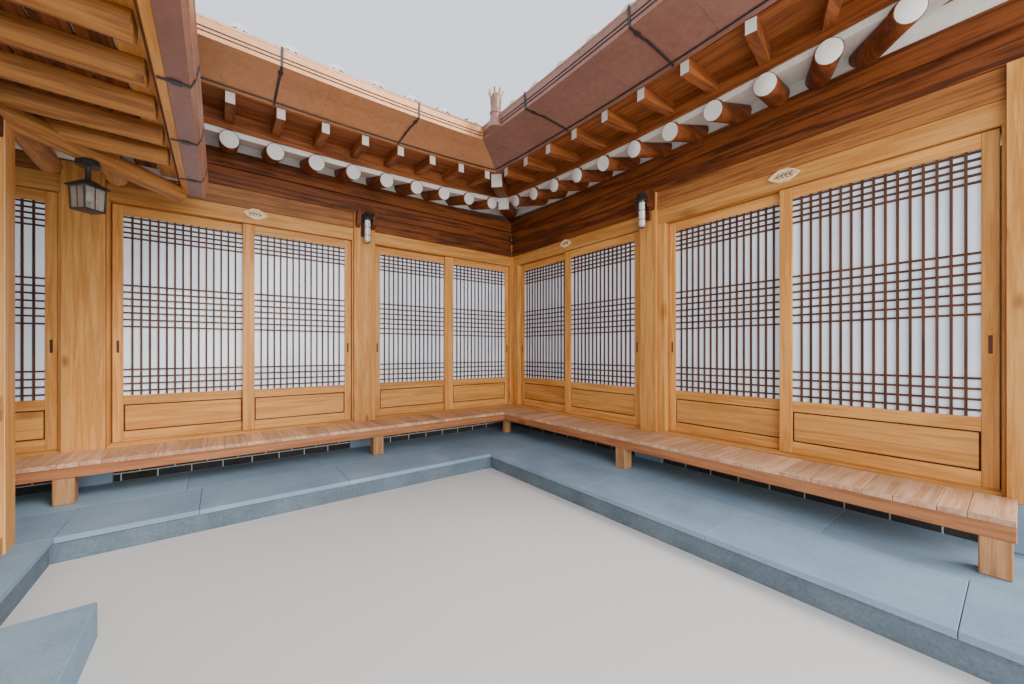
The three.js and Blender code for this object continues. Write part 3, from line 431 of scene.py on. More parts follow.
def dress_leaf(name, wing, lattice):
    """One leaf: stiles, rails, a moulded board, the paper, its bars, and a small recessed pull."""
    run = WINGS[wing]["run"]
    s0, s1, w0, w1, z0, z1 = wing_range(wing, name)
    leaf = new_piece()
    for stile in ((s0, lattice[0]), (lattice[1], s1)):
        wing_box(leaf, wing, stile, (w0, w1), (z0, z1), FRAME_EDGE, 0)
    for rail in ((z0, LEAF_BOARD[0]), (LEAF_BOARD[1], LATTICE[0]), (LATTICE[1], z1)):
        wing_box(leaf, wing, lattice, (w0, w1 - HAIR), rail, FRAME_EDGE, 1)
    wing_box(leaf, wing, lattice, (w0 + BOARD_W[0], w1 + BOARD_W[1]), LEAF_BOARD, 0, 5)
    field_s = (lattice[0] + BOARD_INSET, lattice[1] - BOARD_INSET)
    field_z = (LEAF_BOARD[0] + BOARD_INSET, LEAF_BOARD[1] - BOARD_INSET)
    wing_box(leaf, wing, field_s, (w1 + FIELD_W[0], w1 + FIELD_W[1]), field_z, 0.004, 1)
    wing_box(leaf, wing, lattice, (w0 + PAPER_W[0], w1 + PAPER_W[1]), LATTICE, 0, 2)
    count = round((lattice[1] - lattice[0]) / BAR_PITCH)
    for i in range(1, count):
        s = lattice[0] + (lattice[1] - lattice[0]) * i / count
        depth = (w1 + UPRIGHT_W[0], w1 + UPRIGHT_W[1])
        wing_box(leaf, wing, (s - BAR / 2, s + BAR / 2), depth, LATTICE, 0, 3)
    for z in (*BOTTOM_BARS, *MIDDLE_BARS, *TOP_BARS):
        depth = (w1 + LEVEL_W[0], w1 + LEVEL_W[1])
        wing_box(leaf, wing, lattice, depth, (z - BAR / 2, z + BAR / 2), 0, 4)
    pull = s0 + STILE / 2 if name.endswith("near") else s1 - STILE / 2
    pull_s = (pull - PULL_HALF, pull + PULL_HALF)
    wing_box(leaf, wing, pull_s, (w1 + PULL_W[0], w1 + PULL_W[1]), PULL_Z, 0.004, 3)
    finishes = [honey["z"], honey[run], door_paper, bar_finishes["z"], bar_finishes[run], bar_finishes[run]]
    set_piece("door_" + name, leaf, finishes, body=name, stands_for=[name], smooth=0)


for bay, wing in BAYS.items():
    near = wing_range(wing, f"leaf_{bay}_near")
    far = wing_range(wing, f"leaf_{bay}_far")
    dress_leaf(f"leaf_{bay}_near", wing, (near[0] + STILE, far[0]))
    dress_leaf(f"leaf_{bay}_far", wing, (near[1], far[1] - STILE))

# Eave beams and purlins: long dark pine timbers lying over the columns, the beam let into the column
# heads and the purlin bedded on it. Carved dark brackets clasp the columns under the beam.
BEAM_EDGE = 0.006
for wing, plan in WINGS.items():
    dress("eave_beam_" + wing, dark[plan["run"]], BEAM_EDGE)


def closed_sections(piece, sections, finish):
    """A closed solid between sections that all have the same number of points."""
    loops = [[piece.verts.new(spot) for spot in section] for section in sections]
    faces = [piece.faces.new(loops[0]), piece.faces.new(list(reversed(loops[-1])))]
    for near, far in zip(loops, loops[1:]):
        for k in range(len(near)):
            j = (k + 1) % len(near)
            faces.append(piece.faces.new((near[j], near[k], far[k], far[j])))
    for made in faces:
        made.material_index = finish
    bmesh.ops.recalc_face_normals(piece, faces=faces)
    return faces


COLUMN_FACE = 0.030
BRACKET_Z = (2.470, 2.628)
BRACKET_REACH = 0.105
BRACKET_HALF = 0.019
BRACKET_STEPS = 12
BRACKETS = {"back": (1.912, 2.070), "right": (2.085, 2.205)}


def bracket_front(t):
    """How far a bracket stands out at each share of its height: a double curve."""
    return COLUMN_FACE + BRACKET_REACH * (0.30 + 0.70 * t ** 0.7 + 0.10 * math.sin(t * 2 * math.pi))


for wing, spots in BRACKETS.items():
    brackets = new_piece()
    low, high = BRACKET_Z
    for s in spots:
        sections = []
        for side in (s - BRACKET_HALF, s + BRACKET_HALF):
            section = [wing_point(wing, side, COLUMN_FACE, low), wing_point(wing, side, COLUMN_FACE, high)]
            for i in range(BRACKET_STEPS, -1, -1):
                t = i / BRACKET_STEPS
                section.append(wing_point(wing, side, bracket_front(t), low + (high - low) * t))
            sections.append(section)
        closed_sections(brackets, sections, 0)
    set_piece("brackets_" + wing, brackets, [dark["z"]])

# Round rafters: peeled logs laid square over the purlin, their sawn ends limewashed white, with white
# lime plaster between them. Near the outer corner of the right wing they fan out.
ROUND = {"pale": (0.250, 0.068, 0.017), "deep": (0.100, 0.025, 0.008), "knot": (0.03, 0.008, 0.004)}
round_wood = wood_set("round_wood", ROUND, "xy", knots=0.8, gloss=0.5)


def mottled_finish(name, tones, scale, fine, rough, relief, tone_play=0.0, metal=0.0):
    """A finish that wanders between two tones in clouds, with fine grain and relief."""
    finish, tree, surface = new_finish(name)
    place = house_place(tree)
    island = add_node(tree, "NewGeometry").outputs["Random Per Island"]
    clouds = noise(tree, place, scale, 6.0, roughness=0.6)["Fac"]
    grains = noise(tree, place, fine, 4.0, roughness=0.7)["Fac"]
    half = reckoned(tree, "MULTIPLY", reckoned(tree, "ADD", clouds, grains), 0.5)
    low, high = ((*tone, 1) for tone in tones)
    tone = blended(tree, mapped(tree, half, 0.0, 1.0, 0.35, 0.65), low, high)
    own = mapped(tree, island, 1 - tone_play, 1 + tone_play)
    tree.links.new(vector_reckoned(tree, "SCALE", tone, own), surface.inputs["Base Color"])
    tree.links.new(mapped(tree, half, rough + 0.1, rough - 0.1), surface.inputs["Roughness"])
    add_relief(tree, surface, half, 0.4, relief)
    surface.inputs["Metallic"].default_value = metal
    return finish


LIMEWASH = ((0.66, 0.66, 0.64), (0.80, 0.80, 0.78))
limewash = mottled_finish("limewash", LIMEWASH, 6.0, 60.0, 0.8, 0.002)
SAG = 0.045
SAG_MIDDLE = 2.7
CORNER_RISE = 0.137
END_RISE = 0.091
END_RUN = 4.2
FLAT_W = -1.4
FULL_RUN = 1.9


def eave_lift(x, y):
    """The eaves sag a little in the middle and rise toward the corners."""
    s = max(-x, -y)
    w = min(-x, -y)
    weight = min(max((w - FLAT_W) / FULL_RUN, 0), 1)
    if s < SAG_MIDDLE or -y > -x:
        bow = CORNER_RISE * (1 - s / SAG_MIDDLE) ** 2
    else:
        bow = END_RISE * ((s - SAG_MIDDLE) / END_RUN) ** 2
    return (bow - SAG) * weight


def raised(wing, s, w, z):
    point = wing_point(wing, s, w, z)
    point.z += eave_lift(point.x, point.y)
    return point


def side_and_up(along):
    """Two directions square to a length, the first one level."""
    side = along.cross(Vector((0, 0, 1)))
    side = side.normalized() if side.length > 0.01 else Vector((1, 0, 0))
    return side, side.cross(along)


def ring_round(piece, centre, side, up, radius, sides):
    """A ring of points about a centre."""
    ring = []
    for k in range(sides):
        turn = 2 * math.pi * k / sides
        ring.append(piece.verts.new(centre + side * math.cos(turn) * radius + up * math.sin(turn) * radius))
    return ring


def close_tube(piece, loops, finishes):
    """Joins rings into one round solid, its ends in their own finish."""
    for near, far in zip(loops, loops[1:]):
        for k in range(len(near)):
            j = (k + 1) % len(near)
            piece.faces.new((near[k], near[j], far[j], far[k])).material_index = finishes[0]
    for end in (list(reversed(loops[0])), loops[-1]):
        piece.faces.new(end).material_index = finishes[1]


def round_log(piece, start, end, radii, finishes=(0, 1), sides=18, rings=6, wander=0.018):
    """A peeled log between two points, a little uneven, with its sawn ends chamfered."""
    start, end = Vector(start), Vector(end)
    along = (end - start).normalized()
    side, up = side_and_up(along)
    length = (end - start).length
    chamfer = min(0.005, length / 10)
    steps = [0, chamfer] + [length * i / rings for i in range(1, rings)] + [length - chamfer, length]
    loops = []
    for number, step in enumerate(steps):
        radius = radii[0] + (radii[1] - radii[0]) * (step / length)
        if number in (0, len(steps) - 1):
            radius -= chamfer
        else:
            radius *= 1 + random.uniform(-wander, wander)
        loops.append(ring_round(piece, start + along * step, side, up, radius, sides))
    close_tube(piece, loops, finishes)


def swept_band(piece, wing, section, start, end, finish, steps=24):
    """A section of (w, z) points carried along a wing, rising and sagging with the eave."""
    rows = []
    for i in range(steps + 1):
        row = []
        for w, z in section:
            s = start(w) + (end(w) - start(w)) * i / steps
            row.append(piece.verts.new(raised(wing, s, w, z)))
        rows.append(row)
    faces = []
    for near, far in zip(rows, rows[1:]):
        for i in range(len(section)):
            j = (i + 1) % len(section)
            faces.append(piece.faces.new((near[i], near[j], far[j], far[i])))
    faces.append(piece.faces.new(rows[0]))
    faces.append(piece.faces.new(list(reversed(rows[-1]))))
    for made in faces:
        made.material_index = finish
    bmesh.ops.recalc_face_normals(piece, faces=faces)


RAFTER_END = (0.500, 2.875)
RAFTER_SLOPE = 0.296
RAFTER_TAIL_W = -1.4
RAFTER_RADII = (0.068, 0.0756)
FOCUS = {"w": -1.2, "s": 3.0}
FAN_FROM = FOCUS["s"] + 0.1
FAN_SHARE = 0.68
RAFTERS = {
    "back": {"first": 0.670, "pitch": 0.312, "last": 6.1, "eave_end": 6.9, "plaster_end": 6.035},
    "right": {"first": 0.730, "pitch": 0.320, "last": 3.94, "eave_end": 4.9, "plaster_end": 4.385},
}
HIP_RUN = 2.15
RIDGE_W = -1.5
EAVE_W = 1.28
YARD_RUN = EAVE_W - RIDGE_W
TAIL_CLEAR = 0.26
CEILING_OVER = 0.032
CEILING_THICK = 0.06
CEILING_FRONT = 0.480
CEILING_SHORT = 0.012
PLASTER_W = (0.012, 0.040)
PLASTER_FOOT = 2.9353
PLASTER_OVER = 0.07
PLASTER_START = 0.045
BACK_HIP = 3.65


def rafter_spots(wing):
    plan = RAFTERS[wing]
    count = int((plan["last"] - plan["first"]) / plan["pitch"] + 1.0001)
    return [plan["first"] + i * plan["pitch"] for i in range(count)]


def rafter_middle(w):
    return RAFTER_END[1] + (RAFTER_END[0] - w) * RAFTER_SLOPE


def ceiling_under(w):
    return rafter_middle(w) + CEILING_OVER


def hip_line(eave_end):
    """Where a slope ends at the hip, at each distance out from the wall."""

    def end(w):
        if w > RIDGE_W:
            return eave_end - HIP_RUN * (EAVE_W - w) / YARD_RUN
        return eave_end - (w + BACK_HIP)

    return end


def from_valley(w):
    """Where a slope starts: the diagonal over the inner corner."""
    return w


random.seed(41)
for wing, plan in RAFTERS.items():
    rafters = new_piece()
    for s in rafter_spots(wing):
        hip_w = EAVE_W - YARD_RUN * (plan["eave_end"] - s) / HIP_RUN
        tail_s, tail_w = s, max(RAFTER_TAIL_W, hip_w + TAIL_CLEAR)
        if wing == "right" and s > FAN_FROM:
            tail_s = s + (FOCUS["s"] - s) * FAN_SHARE
            tail_w = RAFTER_END[0] + (FOCUS["w"] - RAFTER_END[0]) * FAN_SHARE
        head = raised(wing, s, *RAFTER_END)
        tail = raised(wing, tail_s, tail_w, rafter_middle(tail_w))
        round_log(rafters, head, tail, RAFTER_RADII)
    ceiling = [
        (RAFTER_TAIL_W, ceiling_under(RAFTER_TAIL_W)),
        (CEILING_FRONT, ceiling_under(CEILING_FRONT)),
        (CEILING_FRONT, ceiling_under(CEILING_FRONT) + CEILING_THICK),
        (RAFTER_TAIL_W, ceiling_under(RAFTER_TAIL_W) + CEILING_THICK),
    ]
    swept_band(rafters, wing, ceiling, from_valley, hip_line(plan["eave_end"] - CEILING_SHORT), 1)
    inner, outer = PLASTER_W
    band = [
        (inner, PLASTER_FOOT),
        (outer, PLASTER_FOOT),
        (outer, rafter_middle(outer) + PLASTER_OVER),
        (inner, rafter_middle(inner) + PLASTER_OVER),
    ]
    plaster_end = plan["plaster_end"]
    swept_band(rafters, wing, band, lambda w: w + PLASTER_START, lambda w: plaster_end, 1)
    finishes = [round_wood[WINGS[wing]["across"]], limewash]
    replaced = ["rafters_" + wing]
    set_piece("round_" + wing, rafters, finishes, stands_for=replaced, smooth=50)

# Flying rafters: short squared timbers spiked over the round ones, their ends limewashed, tied by a
# long eave board in front of the round rafters and closed above by narrow reddish boards.
FLYING = {"pale": (0.360, 0.115, 0.030), "deep": (0.180, 0.048, 0.013), "knot": (0.05, 0.014, 0.006)}
flying_wood = wood_set("flying_wood", FLYING, "xy", gloss=0.5)
FLYER_ROOT = (0.380, 3.058)
FLYER_END = (0.870, 3.010)
FLYER_SIZE = (0.062, 0.085)
FIRST_FLYER = 0.9
FLYER_FAN = 1.7
CLOSING_GAP = 0.001
CLOSING_Z = (-0.003, 0.018)
CLOSING_EDGES = (0.380, 0.432, 0.498, 0.590, 0.682, 0.774, 0.858)
EAVE_BOARD = ((0.432, 2.994), (0.484, 2.980), (0.484, 2.956), (0.498, 2.956), (0.498, 3.085), (0.432, 3.090))


def joined_rings(piece, rings, finish, end_finish=None):
    """A closed solid through rings of points, its last ring in its own finish if one is given."""
    loops = [[piece.verts.new(spot) for spot in ring] for ring in rings]
    faces = [piece.faces.new(list(reversed(loops[0]))), piece.faces.new(loops[-1])]
    for near, far in zip(loops, loops[1:]):
        for k in range(len(near)):
            j = (k + 1) % len(near)
            faces.append(piece.faces.new((near[k], near[j], far[j], far[k])))
    for made in faces:
        made.material_index = finish
    if end_finish is not None:
        faces[1].material_index = end_finish
    return faces


def squared_timber(piece, start, end, size, edge=0.003):
    """A squared timber between two points, its far end in the second finish."""
    start, end = Vector(start), Vector(end)
    along = (end - start).normalized()
    up = Vector((0, 0, 1))
    side = along.cross(up).normalized()
    rings = []
    for spot in (start, end):
        corners = ((-0.5, -0.5), (0.5, -0.5), (0.5, 0.5), (-0.5, 0.5))
        rings.append([spot + side * across * size[0] + up * above * size[1] for across, above in corners])
    faces = joined_rings(piece, rings, 0, 1)
    edges = list(dict.fromkeys(line for made in faces for line in made.edges))
    bmesh.ops.recalc_face_normals(piece, faces=faces)
    bmesh.ops.bevel(piece, geom=edges, offset=edge, segments=1, affect="EDGES", clamp_overlap=True)


def flyer_top(w):
    t = (w - FLYER_ROOT[0]) / (FLYER_END[0] - FLYER_ROOT[0])
    return FLYER_ROOT[1] + (FLYER_END[1] - FLYER_ROOT[1]) * t + FLYER_SIZE[1] / 2


for wing, plan in RAFTERS.items():
    flyers = new_piece()
    for s in rafter_spots(wing):
        if s < FIRST_FLYER:
            continue
        fan = (s - FOCUS["s"]) / FLYER_FAN if wing == "right" and s > FAN_FROM else 0
        ends = [raised(wing, s + fan * (w - 0.5), w, z) for w, z in (FLYER_ROOT, FLYER_END)]
        squared_timber(flyers, *ends, FLYER_SIZE)
    for inner, outer in zip(CLOSING_EDGES, CLOSING_EDGES[1:]):
        under, over = CLOSING_Z
        board = [
            (inner + CLOSING_GAP, flyer_top(inner) + under),
            (outer - CLOSING_GAP, flyer_top(outer) + under),
            (outer - CLOSING_GAP, flyer_top(outer) + over),
            (inner + CLOSING_GAP, flyer_top(inner) + over),
        ]
        swept_band(flyers, wing, board, from_valley, hip_line(plan["eave_end"]), 2)
    swept_band(flyers, wing, EAVE_BOARD, from_valley, hip_line(plan["eave_end"]), 2)
    finishes = [flying_wood[WINGS[wing]["across"]], limewash, flying_wood[WINGS[wing]["run"]]]
    replaced = ["flying_rafters_" + wing]
    set_piece("flyers_" + wing, flyers, finishes, stands_for=replaced, smooth=30)

# Valley and hip rafters: stout squared timbers laid on the diagonals, two stacked at the inner corner
# and one at the near corner of the right wing, with limewashed ends.
diagonal_wood = wood_finish("diagonal_wood", ROUND, "x", gloss=0.5)


def diagonal_timber(name, start, end, size, stands_for, edge=0.004):
    """A timber made along its own length and then laid in place, so that its grain follows it."""
    piece = new_piece()
    squared_timber(piece, (0, 0, 0), ((end - start).length, 0, 0), size, edge)
    finishes = [diagonal_wood, limewash]
    set_piece(name, piece, finishes, stands_for=stands_for, lie=(start, end))


LOWER_SIZE = (0.140, 0.165)
UPPER_SIZE = (0.124, 0.190)
HIP_SIZE = (0.134, 0.180)
HIP_ENDS = ((-0.9, 3.330), (1.0, 2.985))
lower_valley = (Vector((0.9, 0.9, 3.300)), raised("back", 0.512, 0.512, 2.900))
upper_valley = (Vector((0.2, 0.2, 3.235)), Vector((-0.845, -0.845, 3.030)))
diagonal_timber("valley_lower", *lower_valley, LOWER_SIZE, ["valley_rafter"], edge=0.008)
diagonal_timber("valley_upper", *upper_valley, UPPER_SIZE, ["valley_rafter"])
hip_at = hip_line(RAFTERS["right"]["eave_end"])
hip_ends = [raised("right", hip_at(w), w, z) for w, z in HIP_ENDS]
diagonal_timber("hip_corner", *hip_ends, HIP_SIZE, ["hip_rafter"])

# Soffits and gutters: sheets of copper folded under the eave edge in panels, with standing seams, and
# bent at the outer edge into an open channel with a rolled lip. Thin straps hold the channel up.
# Painted light: the back wing's copper is a lighter, sunlit copy and the right wing's a darker, shaded copy
# of the same sheet.
COPPER_LIT_AND_SHADED = {
    "back": ((0.60, 0.255, 0.105), (0.76, 0.38, 0.180)),
    "right": ((0.26, 0.120, 0.088), (0.37, 0.190, 0.148)),
}
# Painted highlight: the rolled lip is drawn in a much lighter copy of the copper, as if lit by the sun.
LIP_COPPER_HIGHLIGHT = ((0.50, 0.30, 0.22), (0.72, 0.50, 0.38))
BLACK_METAL = ((0.012, 0.012, 0.013), (0.035, 0.035, 0.037))
copper = {
    wing: mottled_finish("copper_painted_light_" + wing, tones, 1.6, 22.0, 0.40, 0.0012, 0.08, 0.25)
    for wing, tones in COPPER_LIT_AND_SHADED.items()
}
copper_highlight = mottled_finish("copper_painted_highlight", LIP_COPPER_HIGHLIGHT, 3.0, 30.0, 0.32, 0.0008, metal=0.7)
blackened = mottled_finish("blackened_metal", BLACK_METAL, 20.0, 120.0, 0.42, 0.0006)
CHANNEL = [
    (0.866, 3.057),
    (0.900, 3.068),
    (1.190, 3.084),
    (1.190, 3.075),
    (1.340, 3.075),
    (1.348, 3.182),
    (1.338, 3.182),
    (1.331, 3.084),
    (1.199, 3.084),
    (1.199, 3.092),
    (0.898, 3.076),
    (0.866, 3.065),
]
CHANNEL_START = 0.0003
FRONT_FOOT = (1.342, 3.075)
FRONT_LEAN = 0.075
# Painted shadow: two thin black rods along the channel's front face stand for the shadow in its folded
# grooves.
GROOVE_SHADOWS = (3.104, 3.128)
GROOVE_SHADOW_RADIUS = 0.0032
GROOVE_SHADOW_FROM = 1.36
LIP = (1.344, 3.184)
LIP_RADIUS = 0.009
LIP_FROM = 1.352
LENGTH_STEPS = 30
PANEL_PITCH = 0.62
FIRST_SEAM = 1.35
SEAM_RUNS = ((0.9, 1.188), (1.192, 1.336))
SEAM_HALF = 0.0016
SEAM_DROPS = (0.0005, -0.0022)
SEAM_SIDES = ((0, 1, 3, 2), (4, 6, 7, 5), (0, 2, 6, 4), (1, 5, 7, 3), (0, 4, 5, 1), (2, 3, 7, 6))


def rod(piece, points, radius, finish, sides=8):
    """A round rod or cable through a row of points."""
    points = [Vector(point) for point in points]
    loops = []
    for i, point in enumerate(points):
        ahead = points[min(i + 1, len(points) - 1)] - points[max(i - 1, 0)]
        side, up = side_and_up(ahead.normalized())
        loops.append(ring_round(piece, point, side, up, radius, sides))
    close_tube(piece, loops, (finish, finish))


def channel_under(w):
    """The underside of the soffit sheet, rising a little outward to the flat floor of the channel."""
    return 3.068 + (w - 0.9) * 0.055 if w < 1.19 else 3.075


def along_eave(wing, start, end, w, z):
    """Evenly spaced points along an eave, rising and sagging with it."""
    steps = range(LENGTH_STEPS + 1)
    return [raised(wing, start + (end - start) * i / LENGTH_STEPS, w, z) for i in steps]


for wing, plan in RAFTERS.items():
    end = plan["eave_end"]
    sheet = new_piece()
    swept_band(sheet, wing, CHANNEL, lambda w: w + CHANNEL_START, lambda w: end, 0, LENGTH_STEPS)
    # Black rods where the front's grooves fall in shadow: painted shadow.
    for z in GROOVE_SHADOWS:
        w = FRONT_FOOT[0] + (z - FRONT_FOOT[1]) * FRONT_LEAN
        rod(sheet, along_eave(wing, GROOVE_SHADOW_FROM, end, w, z), GROOVE_SHADOW_RADIUS, 2, 6)
    # The rolled lip, in the painted highlight copper.
    rod(sheet, along_eave(wing, LIP_FROM, end, *LIP), LIP_RADIUS, 1)
    for i in range(int((end - 1.3) / PANEL_PITCH)):
        s = FIRST_SEAM + i * PANEL_PITCH
        for run in SEAM_RUNS:
            corners = []
            for w in run:
                base = channel_under(w)
                for across in (-SEAM_HALF, SEAM_HALF):
                    for drop in SEAM_DROPS:
                        corners.append(sheet.verts.new(raised(wing, s + across, w, base + drop)))
            made = [sheet.faces.new([corners[k] for k in side]) for side in SEAM_SIDES]
            bmesh.ops.recalc_face_normals(sheet, faces=made)
    finishes = [copper[wing], copper_highlight, blackened]
    replaced = ["gutter_" + wing]
    set_piece("gutter_sheet_" + wing, sheet, finishes, stands_for=replaced, smooth=30)

# Gutter straps and a painted shade line: thin black metal straps from the boards round each channel, pinned
# to its lip, and one thin black rod run along the inner edge of the soffit and round the corner, painted
# shade at the crease where the soffit meets the boards.
STRAP_PITCH = 0.95
FIRST_STRAP = 1.95
STRAP_WIDTH = 0.016
STRAP_THICK = 0.0022
STRAP_PATH = (
    (0.880, 3.0545),
    (0.900, 3.0625),
    (1.188, 3.0785),
    (1.192, 3.0710),
    (1.3435, 3.0710),
    (1.3535, 3.176),
    (1.3545, 3.1920),
    (1.332, 3.1935),
)
BUCKLE_HALF = 0.014
BUCKLE_W = (1.25, 1.285)
BUCKLE_Z = (3.0685, 3.0755)
# Painted shade: a thin black rod along the soffit's inner edge stands for the dark crease where the soffit
# meets the boards.
CREASE_SHADE_PLACE = (0.905, 3.0615)
CREASE_SHADE_RADIUS = 0.0055
CREASE_SHADE_FROM = 0.94
CREASE_SHADE_SHORT = 1.2
CREASE_SHADE_STEPS = 40


def flat_strap(piece, points, width, finish, across):
    """A flat strap through a row of points, its width lying along one direction."""
    across = Vector(across) * width / 2
    points = [Vector(point) for point in points]
    sections = []
    for i, point in enumerate(points):
        along = (points[min(i + 1, len(points) - 1)] - points[max(i - 1, 0)]).normalized()
        out = along.cross(across).normalized() * STRAP_THICK / 2
        corners = ((-across, -out), (across, -out), (across, out), (-across, out))
        sections.append([point + a + b for a, b in corners])
    closed_sections(piece, sections, finish)


straps = new_piece()
crease_shade_points = []
for wing, plan in RAFTERS.items():
    along = (1, 0, 0) if wing == "back" else (0, 1, 0)
    for i in range(int((plan["eave_end"] - 1.9) / STRAP_PITCH) + 1):
        s = FIRST_STRAP + i * STRAP_PITCH
        flat_strap(straps, [raised(wing, s, w, z) for w, z in STRAP_PATH], STRAP_WIDTH, 0, along)
        buckle_low = raised(wing, s - BUCKLE_HALF, BUCKLE_W[0], BUCKLE_Z[0])
        buckle_high = raised(wing, s + BUCKLE_HALF, BUCKLE_W[1], BUCKLE_Z[1])
        eased_box(straps, buckle_low, buckle_high, 0.001, 0)
    reach = plan["eave_end"] - CREASE_SHADE_SHORT
    steps = range(CREASE_SHADE_STEPS + 1)
    run = [raised(wing, CREASE_SHADE_FROM + reach * k / CREASE_SHADE_STEPS, *CREASE_SHADE_PLACE) for k in steps]
    crease_shade_points = crease_shade_points + run if crease_shade_points else list(reversed(run))
# The black rod along the inner edge, painted shade.
rod(straps, crease_shade_points, CREASE_SHADE_RADIUS, 0)
set_piece("gutter_straps", straps, [blackened], smooth=40)

# Spout: a flared copper horn soldered to the right channel near the inner corner, with a ringed
# mouth and folded leaves round its root.
SPOUT = (1.560, 1.352, 3.070)
HORN = (
    (0.0, 0.0),
    (0.075, 0.0),
    (0.0745, 0.010),
    (0.060, 0.040),
    (0.050, 0.075),
    (0.045, 0.125),
    (0.052, 0.132),
    (0.052, 0.142),
    (0.045, 0.150),
    (0.044, 0.20),
    (0.048, 0.25),
    (0.044, 0.28),
    (0.030, 0.30),
    (0.0, 0.303),
)
HORN_LEAVES = 8
LEAF_ROOT = (0.038, 0.262)
LEAF_TIP = (0.064, 0.325)


def turned(piece, centre, profile, finish, sides=24):
    """A shape of revolution about an upright line, from (radius, height) points."""
    centre = Vector(centre)
    loops = []
    for radius, height in profile:
        if radius < 0.0005:
            loops.append([piece.verts.new(centre + Vector((0, 0, height)))])
            continue
        loop = []
        for k in range(sides):
            turn = 2 * math.pi * k / sides
            spot = Vector((math.cos(turn) * radius, math.sin(turn) * radius, height))
            loop.append(piece.verts.new(centre + spot))
        loops.append(loop)
    faces = []
    for near, far in zip(loops, loops[1:]):
        for k in range(sides):
            j = (k + 1) % sides
            if len(near) == 1:
                faces.append(piece.faces.new((near[0], far[k], far[j])))
            elif len(far) == 1:
                faces.append(piece.faces.new((near[k], far[0], near[j])))
            else:
                faces.append(piece.faces.new((near[k], far[k], far[j], near[j])))
    for loop in (loops[0], loops[-1]):
        if len(loop) > 1:
            faces.append(piece.faces.new(loop))
    for made in faces:
        made.material_index = finish
    bmesh.ops.recalc_face_normals(piece, faces=faces)


spout = new_piece()
spout_foot = raised("right", *SPOUT)
turned(spout, spout_foot, HORN, 0)
for k in range(HORN_LEAVES):
    turn = 2 * math.pi * k / HORN_LEAVES
    root, tip = (
        spout_foot + Vector((math.cos(turn) * radius, math.sin(turn) * radius, height))
        for radius, height in (LEAF_ROOT, LEAF_TIP)
    )
    rod(spout, [root, (root + tip) / 2 + Vector((0, 0, 0.006)), tip], 0.0085, 1, 6)
# Painted light: the horn takes the right wing's darker, shaded copy of the copper, and its leaves the lighter
# copy with a painted highlight.
set_piece("spout", spout, [copper["right"], copper_highlight], smooth=40)

# Maru: the open bench along both door walls. Cross boards of mixed widths and tones lie over a long
# front beam and a back beam, pegged down, on squared legs and one turned stump at the inner corner.
PALE_BOARD = {"pale": (0.72, 0.44, 0.28), "deep": (0.52, 0.275, 0.155), "knot": (0.14, 0.05, 0.03)}
RED_BEAM = {"pale": (0.50, 0.205, 0.085), "deep": (0.33, 0.115, 0.045), "knot": (0.10, 0.03, 0.015)}
LEG_WOOD = {"pale": (0.56, 0.29, 0.13), "deep": (0.38, 0.17, 0.065), "knot": (0.1, 0.03, 0.01)}
bench_boards = wood_set("bench_boards", PALE_BOARD, "xy", gloss=0.38, tone_play=0.22)
bench_beams = wood_set("bench_beam", RED_BEAM, gloss=0.38)
bench_legs = wood_finish("bench_legs", LEG_WOOD, "z")
BENCH = {
    "back": {"from": 0.4503, "to": 6.05, "legs": (1.98, 4.05, 5.99)},
    "right": {"from": 0.035, "to": 4.25, "legs": (2.15, 4.19)},
}
PAVING = 0.1453
BENCH_W = (0.035, 0.450)
BENCH_TOP = 0.420
BOARD_FOOT = 0.3905
BOARD_WIDTHS = (0.095, 0.165)
NARROWEST = 0.07
BOARD_GAP = 0.0008
BEAM_TOP = 0.3912
LEG_TOP = 0.3395
STUMP = (-0.33, -0.33, 0.1455)
STUMP_SHAPE = ((0.052, 0), (0.055, 0.004), (0.0535, 0.12), (0.050, 0.254))

random.seed(7)
for wing, plan in BENCH.items():
    bench = new_piece()
    ends = (plan["from"], plan["to"])
    s = plan["from"]
    while s < plan["to"] - 0.01:
        width = min(random.uniform(*BOARD_WIDTHS), plan["to"] - s)
        if plan["to"] - s - width < NARROWEST:
            width = plan["to"] - s
        levels = (BOARD_FOOT, BENCH_TOP - random.uniform(0, 0.0012))
        wing_box(bench, wing, (s + BOARD_GAP, s + width - BOARD_GAP), BENCH_W, levels, 0.0018, 0)
        s += width
    wing_box(bench, wing, ends, (0.395, 0.4492), (0.320, BEAM_TOP), 0.004, 1)
    wing_box(bench, wing, ends, (0.035, 0.080), (0.340, BEAM_TOP), 0.003, 1)
    for leg in plan["legs"]:
        wing_box(bench, wing, (leg - 0.05, leg + 0.05), (0.345, 0.445), (PAVING, LEG_TOP), 0.005, 2)
    if wing == "right":
        turned(bench, STUMP, STUMP_SHAPE, 2, 20)
    finishes = [bench_boards[WINGS[wing]["across"]], bench_beams[WINGS[wing]["run"]], bench_legs]
    replaced = ["maru_" + wing]
    set_piece("bench_" + wing, bench, finishes, stands_for=replaced, smooth=30)

# Platform: an earth core faced with blue-grey granite. Long slabs with fine joints lie flush over the
# core and stand a thin lip over a set-back, rougher riser.
GRANITE = ((0.165, 0.265, 0.365), (0.295, 0.415, 0.530))
# The riser is drawn in much darker tones than the slab tops.
RISER = ((0.080, 0.118, 0.155), (0.165, 0.220, 0.270))
granite = mottled_finish("granite_slabs", GRANITE, 2.6, 140.0, 0.72, 0.0012, 0.07)
rough_granite = mottled_finish("granite_riser", RISER, 5.0, 70.0, 0.85, 0.005, 0.06)
PLATFORM_TOP = 0.145
SLAB_BOTTOM = 0.113
SLAB_GAP = 0.0022
SLAB_LENGTH = 0.92
SHORTEST_SLAB = 0.2
CORE_TOP = 0.128
CORE_INSET = 0.012


